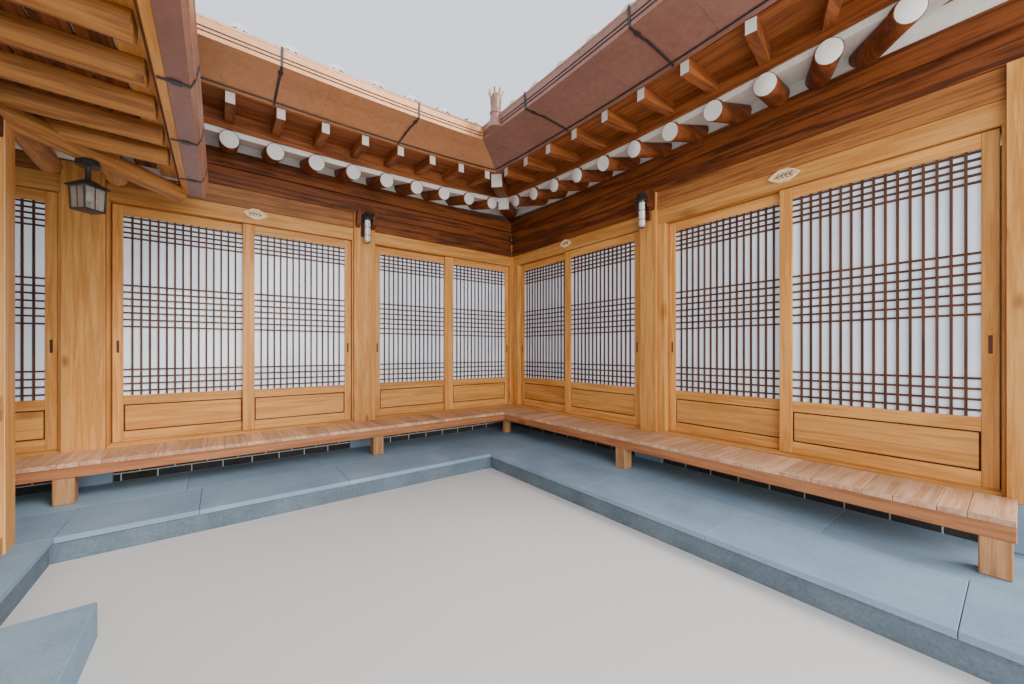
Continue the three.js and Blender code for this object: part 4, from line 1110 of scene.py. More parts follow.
def slab_row(piece, x_range, y_range, long_axis, offset=0.0, length=SLAB_LENGTH):
    """Slabs in one course, laid end to end along an axis with fine joints between."""
    low, high = x_range if long_axis == "x" else y_range
    joint = SLAB_GAP / 2
    start = low - offset
    while start < high - 0.001:
        a, b = max(start, low), min(start + length, high)
        if high - b < SHORTEST_SLAB:
            b = high
        if b - a > 0.01:
            along = (a + joint, b - joint)
            x0, x1 = along if long_axis == "x" else (x_range[0] + joint, x_range[1] - joint)
            y0, y1 = along if long_axis == "y" else (y_range[0] + joint, y_range[1] - joint)
            eased_box(piece, (x0, y0, SLAB_BOTTOM), (x1, y1, PLATFORM_TOP), 0.0022, 0)
        if b == high:
            break
        start += length


PLATFORMS = {
    "platform_back": {"x": (-6.55, 3.3), "y": (-1.08, 3.3)},
    "platform_right": {"x": (-1.08, 3.3), "y": (-4.7, -1.0803)},
    "platform_left": {"x": (-6.55, -3.95), "y": (-5.6, -1.0803)},
}
WALK_EDGE = -0.56
FLOOR_EDGE = -0.02
BACK_SLAB_EDGES = (FLOOR_EDGE, 0.75, 1.55, 2.35, 3.15)
LEFT_SLAB_EDGES = (-6.55, -5.35, -4.95, -4.53, -4.12)
STEP_LOW = (-3.949, -3.25, 0)
STEP_HIGH = (-3.62, -1.99, PLATFORM_TOP)
for name, plan in PLATFORMS.items():
    (x0, x1), (y0, y1) = plan["x"], plan["y"]
    stone = new_piece()
    core_low = (x0 + CORE_INSET, y0 + CORE_INSET, 0)
    core_high = (x1 - CORE_INSET, y1 - CORE_INSET if name == "platform_back" else y1, CORE_TOP)
    eased_box(stone, core_low, core_high, 0.003, 1)
    if name == "platform_back":
        slab_row(stone, (x0, -3.95), (y0, WALK_EDGE), "x", length=0.95)
        slab_row(stone, (-3.95, x1), (y0, WALK_EDGE), "x", 0.3)
        slab_row(stone, (x0, x1), (WALK_EDGE, FLOOR_EDGE), "x", 0.55)
        for edges in zip(BACK_SLAB_EDGES, BACK_SLAB_EDGES[1:]):
            slab_row(stone, (x0, x1), edges, "x", edges[0] % 0.7)
    elif name == "platform_right":
        slab_row(stone, (x0, WALK_EDGE), (y0, y1), "y", 0.34)
        slab_row(stone, (WALK_EDGE, FLOOR_EDGE), (y0, y1), "y", 0.72)
        for x in (FLOOR_EDGE, 0.80, 1.65, 2.50):
            slab_row(stone, (x, x + 0.85 if x < 2.4 else x1), (y0, y1), "y", x % 0.6)
    else:
        slab_row(stone, (LEFT_SLAB_EDGES[-1], x1), (y0, y1), "y", 0.2)
        eased_box(stone, STEP_LOW, STEP_HIGH, 0.003, 0)
        for edges in zip(LEFT_SLAB_EDGES, LEFT_SLAB_EDGES[1:]):
            slab_row(stone, edges, (y0, y1), "y", 0.5)
    set_piece("stone_" + name, stone, [granite, rough_granite], stands_for=[name], smooth=30)

# Brick skirt under the sills: thin black bricks in running bond with pale raked mortar, broken by a
# granite base stone under each column.
BRICK_TONES = ((0.012, 0.012, 0.013), (0.042, 0.042, 0.044))
MORTAR = ((0.60, 0.60, 0.58), (0.80, 0.80, 0.77))
black_brick = mottled_finish("black_brick", BRICK_TONES, 12.0, 90.0, 0.72, 0.003, 0.35)
mortar = mottled_finish("mortar", MORTAR, 14.0, 120.0, 0.9, 0.003)
COURSES = 4
COURSE = 0.0636
BRICK = (0.205, 0.0545)
JOINT = 0.0085
SKIRT = {
    "back": {"from": 0.0, "to": 6.05, "core": -0.15, "stones": ((1.845, 2.140), (3.885, 4.192))},
    "right": {"from": 0.001, "to": 4.40, "core": 0.0003, "stones": ((2.002, 2.292), (4.160, 4.400))},
}
SKIRT_Z = (PAVING, 0.3997)

for wing, plan in SKIRT.items():
    skirt = new_piece()
    wing_box(skirt, wing, (plan["core"], plan["to"] - 0.03), (-0.1, -0.004), SKIRT_Z, 0, 1)
    gaps = []
    edge = plan["from"]
    for low, high in (*plan["stones"], (plan["to"], plan["to"])):
        gaps.append((edge, low))
        edge = high
    for low, high in gaps:
        if high - low < 0.02:
            continue
        for course in range(COURSES):
            z = SKIRT_Z[0] + course * COURSE
            levels = (z, min(z + BRICK[1], SKIRT_Z[1]))
            s = low - (course % 2) * (BRICK[0] + JOINT) / 2
            while s < high:
                a, b = max(s, low), min(s + BRICK[0], high)
                if b - a > 0.015:
                    wing_box(skirt, wing, (a, b), (-0.05, 0), levels, 0.0015, 0)
                s += BRICK[0] + JOINT
    for stone in plan["stones"]:
        wing_box(skirt, wing, stone, (-0.15, 0.028), SKIRT_Z, 0.006, 2)
    finishes = [black_brick, mortar, granite]
    replaced = ["brick_skirt_" + wing]
    set_piece("skirt_" + wing, skirt, finishes, stands_for=replaced, smooth=30)

# Left wing: a lower building on the open side of the yard. White plaster walls stand between honey
# corner and middle posts, with a sill, a rail at sill height and a dark plate beam under the rafters.
PLASTER = ((0.70, 0.70, 0.69), (0.82, 0.82, 0.81))
plaster = mottled_finish("white_plaster", PLASTER, 3.0, 45.0, 0.85, 0.0025)
LEFT_FACE = -4.1
LEFT_BACK = -6.25
LEFT_POSTS = (-1.12, -3.18, -5.24)
LEFT_POST_HALF = 0.0625
LEFT_SIDES = (
    (LEFT_FACE, 1, 2.3585, ((-1.1825, -2.0), (-2.9, -3.1175), (-3.2425, -5.1775))),
    (LEFT_BACK, -1, 2.33, ((-1.1825, -3.1175), (-3.2425, -5.1775))),
)
LEFT_ENDS = ((-1.06, 1), (-5.3, -1))
RAIL_PROUD = 0.0085
RAIL_SUNK = 0.05
LOW_RAILS = ((PAVING, 0.235), (0.820, 0.940))
PLATE_Z = (2.235, 2.335)
dress("walls_left", plaster)

left_frame = new_piece()
for face, out, post_top, rails in LEFT_SIDES:
    inner = face - out * 0.106
    outer = face + out * 0.0165
    for y in LEFT_POSTS:
        foot = (inner, y - LEFT_POST_HALF, PAVING)
        eased_box(left_frame, foot, (outer, y + LEFT_POST_HALF, post_top), 0.006, 0)
    proud = face + out * RAIL_PROUD
    flush = face - out * RAIL_SUNK
    for y0, y1 in rails:
        for z0, z1 in LOW_RAILS:
            eased_box(left_frame, (flush, y1, z0), (proud, y0, z1), 0.003, 1)
        plate_front = proud + out * 0.004
        eased_box(left_frame, (flush, y1, PLATE_Z[0]), (plate_front, y0, PLATE_Z[1]), 0.004, 2)
for y, out in LEFT_ENDS:
    proud = y + out * RAIL_PROUD
    flush = y - out * RAIL_SUNK
    middle = (LEFT_FACE + LEFT_BACK) / 2
    post_front = proud + out * 0.004
    eased_box(left_frame, (middle - 0.06, flush, 0.235), (middle + 0.06, post_front, 2.25), 0.005, 0)
    for (z0, z1), finish in zip((*LOW_RAILS, PLATE_Z), (3, 3, 4)):
        eased_box(left_frame, (LEFT_BACK + 0.11, flush, z0), (LEFT_FACE - 0.11, proud, z1), 0.003, finish)
left_finishes = [honey["z"], honey["y"], dark["y"], honey["x"], dark["x"]]
set_piece("left_timbers", left_frame, left_finishes)

# Left eave: peeled honey logs under a boarded ceiling, its boards between the logs drawn dark as painted
# shade over their own red-brown, a fascia board nailed along their ends, and a stout hip log on the diagonal
# to the near corner.
LOG_TONES = {"pale": (0.50, 0.225, 0.062), "deep": (0.27, 0.098, 0.025), "knot": (0.07, 0.022, 0.009)}
left_log_wood = wood_set("left_logs", LOG_TONES, "xy", knots=0.9, knot_scale=4.6, gloss=0.45)
# Painted shade: the ceiling boards and the strip behind the fascia are drawn in dark wood where the gaps
# between the logs fall in shade.
left_boards_with_painted_shade = wood_set("left_boards_painted_shade", DARK, "xy", knots=0.3, gloss=0.55)
LEFT_EAVE = {"from": -0.430, "to": -5.800, "z": 2.440}
LOG_RADIUS = 0.066
LOG_PITCH = 0.305
LOG_HEAD = LEFT_FACE + 0.62
LOG_HEAD_Z = 2.400
NORTH_LOGS = 7
NORTH_LOG_Z = 2.362
FASCIA_X = (LEFT_FACE + 0.650, LEFT_FACE + 0.688)
CEILING_BOARD = 0.118

random.seed(19)
left_eave = new_piece()
s = 1.0
while s < 5.7:
    reach = min(1.5, min(s - 0.43, 5.8 - s) * 0.95)
    inner = (LOG_HEAD - reach, -s, LOG_HEAD_Z + 0.02 * reach)
    radii = (LOG_RADIUS * 0.93, LOG_RADIUS)
    round_log(left_eave, (LOG_HEAD, -s, LOG_HEAD_Z), inner, radii, (0, 0), 18, 9, 0.020)
    s += LOG_PITCH
for i in range(NORTH_LOGS):
    x = LEFT_FACE + 0.31 - i * LOG_PITCH
    reach = min(1.0, max(0.35, 0.66 - (x - LEFT_FACE)))
    inner = (x, -0.5 - reach, NORTH_LOG_Z + 0.065 * reach)
    radii = (LOG_RADIUS * 0.9, LOG_RADIUS * 0.95)
    round_log(left_eave, (x, -0.5, NORTH_LOG_Z), inner, radii, (1, 1), 18, 5, 0.015)
back, front = FASCIA_X
start, end = LEFT_EAVE["to"], LEFT_EAVE["from"]
eased_box(left_eave, (back, start, 2.362), (front, end, 2.470), 0.003, 2)
eased_box(left_eave, (back - 0.016, start + 0.02, 2.400), (back, end - 0.02, 2.425), 0.002, 3)
x = LEFT_FACE + 0.648
while x > LEFT_FACE - 0.85:
    low = (x - CEILING_BOARD + 0.006, start + 0.3, LEFT_EAVE["z"] - 0.0085)
    depth = max(0.02, LEFT_FACE + 0.73 - x)
    high = (x, -0.43 - depth, LEFT_EAVE["z"] - 0.0005)
    # Most boards take the dark wood, painted shade over their own red-brown; some take the honey wood.
    eased_box(left_eave, low, high, 0.0015, 3 if int(x * 100) % 3 else 2)
    x -= CEILING_BOARD
left_finishes = [left_log_wood["x"], left_log_wood["y"], honey["y"], left_boards_with_painted_shade["y"]]
set_piece("left_eave", left_eave, left_finishes, smooth=40)

LEFT_ROOF = {"x": (-3.37, -6.75), "y": (-0.43, -5.80)}
LEFT_HIP_RUN = 1.805
LEFT_BACK_RUN = 1.575
LEFT_BED = ((0.97, 2.469), (0, 2.440), (0, 2.500), (0.25, 2.658), (0.50, 2.844), (0.75, 3.058), (0.99, 3.290))
left_bed = new_piece()
rings = []
for t, z in LEFT_BED:
    x0, x1 = LEFT_ROOF["x"][0] - LEFT_HIP_RUN * t, LEFT_ROOF["x"][1] + LEFT_BACK_RUN * t
    y0, y1 = LEFT_ROOF["y"][0] - LEFT_HIP_RUN * t, LEFT_ROOF["y"][1] + LEFT_HIP_RUN * t
    rings.append([(x0, y0, z), (x0, y1, z), (x1, y1, z), (x1, y0, z)])
joined_rings(left_bed, rings, 0)
bmesh.ops.recalc_face_normals(left_bed, faces=left_bed.faces[:])
set_piece("left_roof_bed", left_bed, [plaster], stands_for=["roof_left"], smooth=20)

left_hip = new_piece()
hip_start = Vector((LEFT_FACE + 0.64, -0.47, 2.335))
hip_end = Vector((-5.175 + 0.25, -0.43 - 1.805 + 0.25, 2.420))
hip_tip = ((hip_end - hip_start).length, 0, 0)
round_log(left_hip, (0, 0, 0), hip_tip, (0.060, 0.068), (0, 0), 20, 9, 0.015)
hip_laid = (hip_start, hip_end)
set_piece("left_hip_log", left_hip, [left_log_wood["x"]], smooth=40, lie=hip_laid)

# Left gutter: a deep copper channel outside the fascia, its side folded in two steps, held by flat
# black straps with small buckles.
# Painted light: the folded side is a lighter, pinker copy of the copper, as if lit, and the bottom takes the
# right wing's darker, shaded copy.
LIT_SIDE_COPPER = ((0.50, 0.25, 0.165), (0.68, 0.40, 0.290))
lit_side_copper = mottled_finish("lit_side_copper", LIT_SIDE_COPPER, 2.0, 30.0, 0.35, 0.0008, 0.05, 0.5)
LEFT_CHANNEL = [
    (0.6883, 2.362),
    (0.770, 2.362),
    (0.786, 2.400),
    (0.800, 2.470),
    (0.790, 2.470),
    (0.776, 2.402),
    (0.764, 2.372),
    (0.6883, 2.372),
]
FOLDED_SIDES = (3, 4)
LEFT_BEADS = ((0.795, 2.471, 0.0085), (0.787, 2.402, 0.004))
LEFT_STRAPS = 9
LEFT_STRAP_PITCH = 0.62
LEFT_STRAP_WIDTH = 0.020
LEFT_STRAP_PATH = (
    (0.655, 2.3585),
    (0.771, 2.3585),
    (0.7895, 2.3990),
    (0.8035, 2.468),
    (0.804, 2.480),
    (0.785, 2.4815),
)
left_gutter = new_piece()
sections = [[(LEFT_FACE + w, y, z) for w, z in LEFT_CHANNEL] for y in (-0.390, -5.840)]
sheet_faces = closed_sections(left_gutter, sections, 0)
# The folded side faces take the lighter, lit copy: painted light.
for number in FOLDED_SIDES:
    sheet_faces[number].material_index = 1
for w, z, radius in LEFT_BEADS:
    rod(left_gutter, [(LEFT_FACE + w, -0.392 - 5.446 * k / 12, z) for k in range(13)], radius, 1)
for i in range(LEFT_STRAPS):
    y = -0.75 - i * LEFT_STRAP_PITCH
    hold = [(LEFT_FACE + w, y, z) for w, z in LEFT_STRAP_PATH]
    flat_strap(left_gutter, hold, LEFT_STRAP_WIDTH, 2, (0, 1, 0))
    buckle_low = (LEFT_FACE + 0.700, y - 0.018, 2.3545)
    eased_box(left_gutter, buckle_low, (LEFT_FACE + 0.742, y + 0.018, 2.3600), 0.001, 2)
finishes = [copper["right"], lit_side_copper, blackened]
replaced = ["gutter_left"]
set_piece("left_gutter", left_gutter, finishes, stands_for=replaced, smooth=30)

# Left door: a boarded honey door hung in the plaster wall. Seven upright boards stand between two
# stiles and are held by three rails, with a small turned black knob on the middle one.
DOOR_BOARDS = 7
DOOR_STILE = 0.08
DOOR_RAIL = 0.10
MIDDLE_RAIL = (1.05, 1.15)
KNOB = ((0.010, -0.012), (0.014, 0), (0.010, 0.012))
door = new_piece()
low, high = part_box("door_left")
first = low.y + DOOR_STILE
boarded = high.y - low.y - 2 * DOOR_STILE
for i in range(DOOR_BOARDS):
    y0, y1 = (first + boarded * number / DOOR_BOARDS for number in (i, i + 1))
    board_low = (low.x + 0.008, y0 + 0.001, low.z + DOOR_RAIL)
    eased_box(door, board_low, (high.x - 0.008, y1 - 0.001, high.z - DOOR_RAIL), 0.003, 0)
for y0, y1 in ((low.y, first), (high.y - DOOR_STILE, high.y)):
    eased_box(door, (low.x, y0, low.z), (high.x, y1, high.z), 0.003, 0)
for z0, z1 in ((low.z, low.z + DOOR_RAIL), MIDDLE_RAIL, (high.z - DOOR_RAIL, high.z)):
    eased_box(door, (low.x, first, z0), (high.x, high.y - DOOR_STILE, z1), 0.003, 1)
turned(door, (high.x + 0.004, low.y + 0.04, 1.10), KNOB, 2, 12)
finishes = [honey["z"], honey["y"], blackened]
set_piece("left_door", door, finishes, stands_for=["door_left"], smooth=30)

# Wall lamps: a black metal dome and bracket over a frosted glass tube in a bright cage, screwed to a
# dark backing board at each of two column heads.
CHROME = ((0.42, 0.44, 0.46), (0.60, 0.62, 0.64))
chrome = mottled_finish("bright_metal", CHROME, 12.0, 90.0, 0.22, 0.0004, metal=0.95)
LAMPS = {"back": ("lamp_back", 1.990), "right": ("lamp_right", 2.147)}
LAMP_DOME = (
    (0.0, 0.0),
    (0.058, 0.0),
    (0.062, 0.004),
    (0.061, 0.012),
    (0.052, 0.034),
    (0.040, 0.058),
    (0.031, 0.070),
    (0.022, 0.080),
    (0.012, 0.085),
    (0.0, 0.086),
)
LAMP_OUT = 0.1153
LAMP_TUBE = ((0.0, 0.0), (0.024, 0.0), (0.027, 0.006), (0.027, 0.225))
LAMP_FOOT = ((0.0, 0.0), (0.016, 0.0), (0.028, 0.008), (0.028, 0.018))
CAGE_RING = ((0.0275, 0), (0.0305, 0.002), (0.0305, 0.010), (0.0275, 0.012))
CAGE_HEIGHTS = (2.303, 2.372, 2.455, 2.532)
CAGE_BARS = 6


def glass_finish(name, tones, scale, detail, roughness):
    """Glass with a faint, uneven tone."""
    finish, tree, surface = new_finish(name)
    waves = noise(tree, house_place(tree), scale, detail)["Fac"]
    tree.links.new(two_tones(tree, waves, *tones), surface.inputs["Base Color"])
    surface.inputs["Roughness"].default_value = roughness
    return finish, surface


FROST = ((0.74, 0.76, 0.78), (0.90, 0.91, 0.92))
frosted, frosted_surface = glass_finish("frosted_glass", FROST, 160.0, 3.0, 0.3)
frosted_surface.inputs["Coat Weight"].default_value = 0.6

for wing, (node, s) in LAMPS.items():
    lamp = new_piece()
    wing_box(lamp, wing, (s - 0.045, s + 0.045), (0.0303, 0.048), (2.380, 2.620), 0.005, 0)
    wing_box(lamp, wing, (s - 0.012, s + 0.012), (0.046, 0.100), (2.572, 2.590), 0.003, 1)
    wing_box(lamp, wing, (s - 0.022, s + 0.022), (0.046, 0.054), (2.535, 2.610), 0.004, 1)
    centre = wing_point(wing, s, LAMP_OUT, 0)
    turned(lamp, centre + Vector((0, 0, 2.540)), LAMP_DOME, 1)
    turned(lamp, centre + Vector((0, 0, 2.318)), LAMP_TUBE, 2)
    for z in CAGE_HEIGHTS:
        turned(lamp, centre + Vector((0, 0, z)), CAGE_RING, 3)
    turned(lamp, centre + Vector((0, 0, 2.300)), LAMP_FOOT, 1)
    for k in range(CAGE_BARS):
        turn = 2 * math.pi * (k + 0.5) / CAGE_BARS
        foot = centre + Vector((math.cos(turn) * 0.0295, math.sin(turn) * 0.0295, 2.306))
        rod(lamp, [foot, foot + Vector((0, 0, 0.235))], 0.0018, 3, 6)
    finishes = [dark["z"], blackened, frosted, chrome]
    set_piece("wall_lamp_" + wing, lamp, finishes, stands_for=[node], smooth=40)

# Hanging lantern: a small black metal lantern with four glass panes and a hipped hood, on a short
# stem and plate screwed to the left hip log.
OLD_GLASS = ((0.78, 0.76, 0.68), (0.92, 0.90, 0.84))
glass, glass_surface = glass_finish("lantern_glass", OLD_GLASS, 14.0, 2.0, 0.08)
glass_surface.inputs["Transmission Weight"].default_value = 0.75
glass_surface.inputs["IOR"].default_value = 1.45
LANTERN = Vector((-3.855, -0.884, 0))
LANTERN_LOW = (0.070, 2.006)
LANTERN_HIGH = (0.075, 2.143)
PANE_THICK = 0.003
BAR_RADIUS = 0.0048
LANTERN_FLOOR = ((0.0, 0.0), (0.064, 0.0), (0.076, 0.004), (0.072, 0.010), (0.0, 0.012))
HOOD = (
    (0.0, 0.002),
    (0.090, 0.0),
    (0.097, 0.003),
    (0.094, 0.010),
    (0.062, 0.028),
    (0.034, 0.046),
    (0.018, 0.052),
    (0.0, 0.054),
)
STEM = ((0.018, 0), (0.013, 0.012), (0.0125, 0.075), (0.018, 0.088))
STEM_PLATE = ((0.0, 0.0), (0.048, 0.0), (0.056, 0.006), (0.055, 0.014), (0.050, 0.040), (0.0, 0.042))
SOCKET = ((0.0, 0), (0.014, 0.002), (0.014, 0.045), (0.011, 0.050), (0.0, 0.051))
BULB = ((0.0, 0), (0.013, 0.004), (0.021, 0.024), (0.018, 0.042), (0.0, 0.052))
LANTERN_PARTS = (
    (2.000, LANTERN_FLOOR, 0, 4),
    (2.140, HOOD, 0, 4),
    (2.190, STEM, 0, 14),
    (2.268, STEM_PLATE, 0, 24),
    (2.012, SOCKET, 0, 14),
    (2.062, BULB, 2, 14),
)


def lantern_corners(radius, z):
    turns = [math.pi / 2 * k for k in range(4)]
    return [LANTERN + Vector((math.cos(turn) * radius, math.sin(turn) * radius, z)) for turn in turns]


lantern = new_piece()
lower = lantern_corners(*LANTERN_LOW)
upper = lantern_corners(*LANTERN_HIGH)
for k in range(4):
    j = (k + 1) % 4
    for bar in ((lower[k], upper[k]), (lower[k], lower[j]), (upper[k], upper[j])):
        rod(lantern, bar, BAR_RADIUS, 0)
    rod(lantern, [(lower[k] + lower[j]) / 2, (upper[k] + upper[j]) / 2], 0.0026, 0, 6)
    pane = []
    for corner in (lower[k], lower[j], upper[j], upper[k]):
        spot = corner * 0.985 + LANTERN * 0.015
        spot.z = corner.z
        pane.append(spot)
    outward = (pane[0] + pane[1]) / 2 - LANTERN
    outward.z = 0
    outward = outward.normalized() * PANE_THICK
    closed_sections(lantern, [pane, [spot - outward for spot in pane]], 1)
for z, profile, finish, sides in LANTERN_PARTS:
    turned(lantern, LANTERN + Vector((0, 0, z)), profile, finish, sides)
finishes = [blackened, glass, frosted]
set_piece("hanging_lantern", lantern, finishes, stands_for=["lantern"], smooth=35)

# Door plaques: small pale boards cut to a pointed oval with a raised rim and a carved leafy sprig, one
# nailed over the doors of three bays, and one small black fitting on the corner beam.
PLAQUE_WOOD = {"pale": (0.93, 0.75, 0.47), "deep": (0.80, 0.59, 0.34), "knot": (0.2, 0.1, 0.05)}
plaque_wood = wood_set("plaque_wood", PLAQUE_WOOD, "xy", knots=0.0)
PLAQUES = (
    ("back", 2.962, 2.423, 0.195, 0.108),
    ("right", 1.045, 2.423, 0.175, 0.096),
    ("right", 3.232, 2.421, 0.200, 0.104),
)
PLAQUE_LAYERS = ((1.0, 0.0), (1.0, 0.011), (0.94, 0.015), (0.84, 0.015), (0.80, 0.011))
PLAQUE_BACK = 0.0004
CARVED = 0.0129
OUTLINE_STEPS = 48
SPRIG_RADIUS = 0.0022
SPRIG_STEM = ((-0.28, -0.07), (0, 0.03), (0.28, 0.0))
LEAF_ROOTS = (-0.20, -0.07, 0.06, 0.19)
FITTING = ((0.0, 0.0), (0.020, 0.002), (0.026, 0.014), (0.026, 0.055), (0.018, 0.064), (0.0, 0.066))


def pointed_oval(half_length, half_height):
    """The outline of a plaque: two low arcs that meet in points, each with a shallow notch."""
    points = []
    for k in range(OUTLINE_STEPS):
        turn = 2 * math.pi * k / OUTLINE_STEPS
        along = math.cos(turn)
        swell = (1 - abs(along) ** 1.7) * (1 - 0.12 * math.exp(-((along / 0.10) ** 2)))
        points.append((half_length * along, math.copysign(half_height * swell, math.sin(turn))))
    return points


for number, (wing, s, z, length, height) in enumerate(PLAQUES):
    plaque = new_piece()
    loops = []
    for size, out in PLAQUE_LAYERS:
        outline = pointed_oval(length / 2 * size, height / 2 * size)
        spots = [wing_point(wing, s + a, PLAQUE_BACK + out, z + b) for a, b in outline]
        loops.append([plaque.verts.new(spot) for spot in spots])
    made = [plaque.faces.new(loops[0]), plaque.faces.new(loops[-1])]
    for near, far in zip(loops, loops[1:]):
        for k in range(OUTLINE_STEPS):
            j = (k + 1) % OUTLINE_STEPS
            made.append(plaque.faces.new((near[k], near[j], far[j], far[k])))
    bmesh.ops.recalc_face_normals(plaque, faces=made)
    lines = [SPRIG_STEM]
    for a in LEAF_ROOTS:
        for rise in (-1, 1):
            lines.append(((a, 0), (a + 0.05, 0.13 * rise), (a + 0.10, 0.17 * rise)))
    for line in lines:
        carving = [wing_point(wing, s + length * a, CARVED, z + height * b) for a, b in line]
        rod(plaque, carving, SPRIG_RADIUS, 1, 6)
    run = WINGS[wing]["run"]
    finishes = [plaque_wood[run], bar_finishes[run]]
    set_piece(f"plaque_{number + 1}", plaque, finishes, smooth=35)

fitting = new_piece()
turned(fitting, (-0.045, -0.045, 2.655), FITTING, 0, 18)
eased_box(fitting, (-0.040, -0.040, 2.675), (-0.0155, -0.0155, 2.705), 0.002, 0)
set_piece("corner_fitting", fitting, [blackened], smooth=40)

# Tiled roofs: dark grey fired clay tiles bedded in clay on the boards. Shallow dished tiles lap down
# each slope, and rows of half-round tiles cover the joints between them, plugged white at the eaves.
TILE_CLAY = ((0.050, 0.053, 0.058), (0.125, 0.130, 0.138))
BED_LIME = ((0.62, 0.60, 0.56), (0.76, 0.74, 0.70))
roof_clay = mottled_finish("roof_tiles", TILE_CLAY, 7.0, 60.0, 0.62, 0.002, 0.28)
clay_bed = mottled_finish("lime_underside", BED_LIME, 4.0, 50.0, 0.85, 0.003)
ROW_PITCH = 0.285
ROUND_RADIUS = 0.068
ROUND_LENGTH = 0.29
ROUND_STEPS = 7
DISH_LENGTH = 0.225
DISH_HALF = 0.125
DISH_SHAPE = ((-DISH_HALF, 0.030), (-0.07, 0.010), (0.0, 0.0), (0.07, 0.010), (DISH_HALF, 0.030))
TILE_LAP = 0.022
EAVE_BELOW = 3.36
LONG_EAVE = 1.6
NO_ROOF = 3.3
DOWN = Vector((0, 0, -1))


def upright(height):
    return Vector((0, 0, height))


def upper_surface(node):
    """Finds the height of a roof's top at any place in plan."""
    mesh = nodes[node].data
    tree = BVHTree.FromPolygons([v.co for v in mesh.vertices], [tuple(p.vertices) for p in mesh.polygons])

    def height(spot, otherwise):
        hit = tree.ray_cast(Vector((spot.x, spot.y, 9)), DOWN)[0]
        return hit.z if hit else otherwise

    return height


def row_across(corners, spot, down):
    """The part of a line that lies inside a convex outline, as distances along it."""
    near, far = -99.0, 99.0
    middle = sum(corners, Vector((0, 0))) / len(corners)
    for a, b in zip(corners, corners[1:] + corners[:1]):
        edge = b - a
        outward = Vector((edge.y, -edge.x))
        if outward.length < 1e-6:
            continue
        if outward.dot(middle - a) > 0:
            outward = -outward
        speed = outward.dot(down)
        reach = outward.dot(a - spot)
        if abs(speed) < 1e-9:
            if reach < 0:
                return None
            continue
        if speed > 0:
            far = min(far, reach / speed)
        else:
            near = max(near, reach / speed)
    return (near, far) if far - near > 0.05 else None


def half_round(piece, top, foot, side, radii, plugged=False):
    """One arched tile between two points, open below, its foot plugged with lime if asked."""
    rings = []
    for spot, radius in ((top, radii[0]), (foot, radii[1])):
        ring = []
        for k in range(ROUND_STEPS + 1):
            turn = math.pi * k / ROUND_STEPS
            ring.append(spot + side * math.cos(turn) * radius + upright(math.sin(turn) * radius))
        ring.append(spot - side * radius * 0.9 - upright(0.02))
        ring.append(spot + side * radius * 0.9 - upright(0.02))
        rings.append(ring)
    joined_rings(piece, rings, 0, 1 if plugged else None)


def dished(piece, top, foot, side, lift):
    """One shallow tile between two points, hollow upward."""
    rings = []
    for spot, rise in ((top, lift[0]), (foot, lift[1])):
        ring = [spot + side * across + upright(rise + sink) for across, sink in DISH_SHAPE]
        ring.append(spot + side * DISH_HALF + upright(rise - 0.016))
        ring.append(spot - side * DISH_HALF + upright(rise - 0.016))
        rings.append(ring)
    joined_rings(piece, rings, 0)


def tiled_slope(piece, height, corners, down):
    """Covers one slope, given by its outline in plan and the way that water runs."""
    corners = [Vector(corner) for corner in corners]
    down = Vector(down).normalized()
    across = Vector((-down.y, down.x))
    side = Vector((across.x, across.y, 0))
    reach = [corner.dot(across) for corner in corners]
    count = int((max(reach) - min(reach)) / ROW_PITCH * 2)
    for number in range(count + 1):
        at = min(reach) + (number * 0.5 + 0.25) * ROW_PITCH
        if at > max(reach):
            break
        origin = across * at
        span = row_across(corners, origin, down)
        if not span:
            continue
        is_round = number % 2 == 0
        length = ROUND_LENGTH if is_round else DISH_LENGTH
        tiles = max(1, round((span[1] - span[0]) / length))
        step = (span[1] - span[0]) / tiles
        last = None
        for i in range(tiles + 1):
            where = origin + down * (span[0] + 0.004 + (step - 0.008 / tiles) * i)
            spot = Vector((where.x, where.y, height(where, last.z if last else NO_ROOF)))
            if last:
                beyond = (spot - last).normalized() * TILE_LAP
                at_eave = i == tiles and spot.z < EAVE_BELOW
                if is_round:
                    radii = (ROUND_RADIUS - 0.006, ROUND_RADIUS)
                    foot = spot + beyond + upright(0.016)
                    half_round(piece, last + upright(0.006), foot, side, radii, at_eave)
                else:
                    foot = spot + beyond * (LONG_EAVE if at_eave else 1)
                    dished(piece, last, foot, side, (0.004, 0.020))
            last = spot


SLOPES = {
    "roof_back": (
        (((-1.28, -1.28), (-6.9, -1.28), (-4.75, 1.5), (1.5, 1.5)), (0, -1)),
        (((3.65, 3.65), (-6.9, 3.65), (-4.75, 1.5), (1.5, 1.5)), (0, 1)),
        (((-6.9, -1.28), (-6.9, 3.65), (-4.75, 1.5)), (-1, 0)),
    ),
    "roof_right": (
        (((-1.28, -1.28), (-1.28, -4.9), (1.5, -2.75), (1.5, 1.5)), (-1, 0)),
        (((3.65, 3.65), (3.65, -4.9), (1.5, -2.75), (1.5, 1.5)), (1, 0)),
        (((-1.28, -4.9), (3.65, -4.9), (1.5, -2.75)), (0, -1)),
    ),
    "roof_left": (
        (((-3.37, -0.43), (-3.37, -5.8), (-5.175, -3.995), (-5.175, -2.235)), (1, 0)),
        (((-6.75, -0.43), (-6.75, -5.8), (-5.175, -3.995), (-5.175, -2.235)), (-1, 0)),
        (((-3.37, -0.43), (-6.75, -0.43), (-5.175, -2.235)), (0, 1)),
        (((-3.37, -5.8), (-6.75, -5.8), (-5.175, -3.995)), (0, -1)),
    ),
}
for roof, slopes in SLOPES.items():
    if roof != "roof_left":
        dress(roof, clay_bed)
    height = upper_surface(roof)
    tiles = new_piece()
    for corners, down in slopes:
        tiled_slope(tiles, height, corners, down)
    bmesh.ops.recalc_face_normals(tiles, faces=tiles.faces[:])
    set_piece("tiles_" + roof, tiles, [roof_clay, limewash], smooth=40)

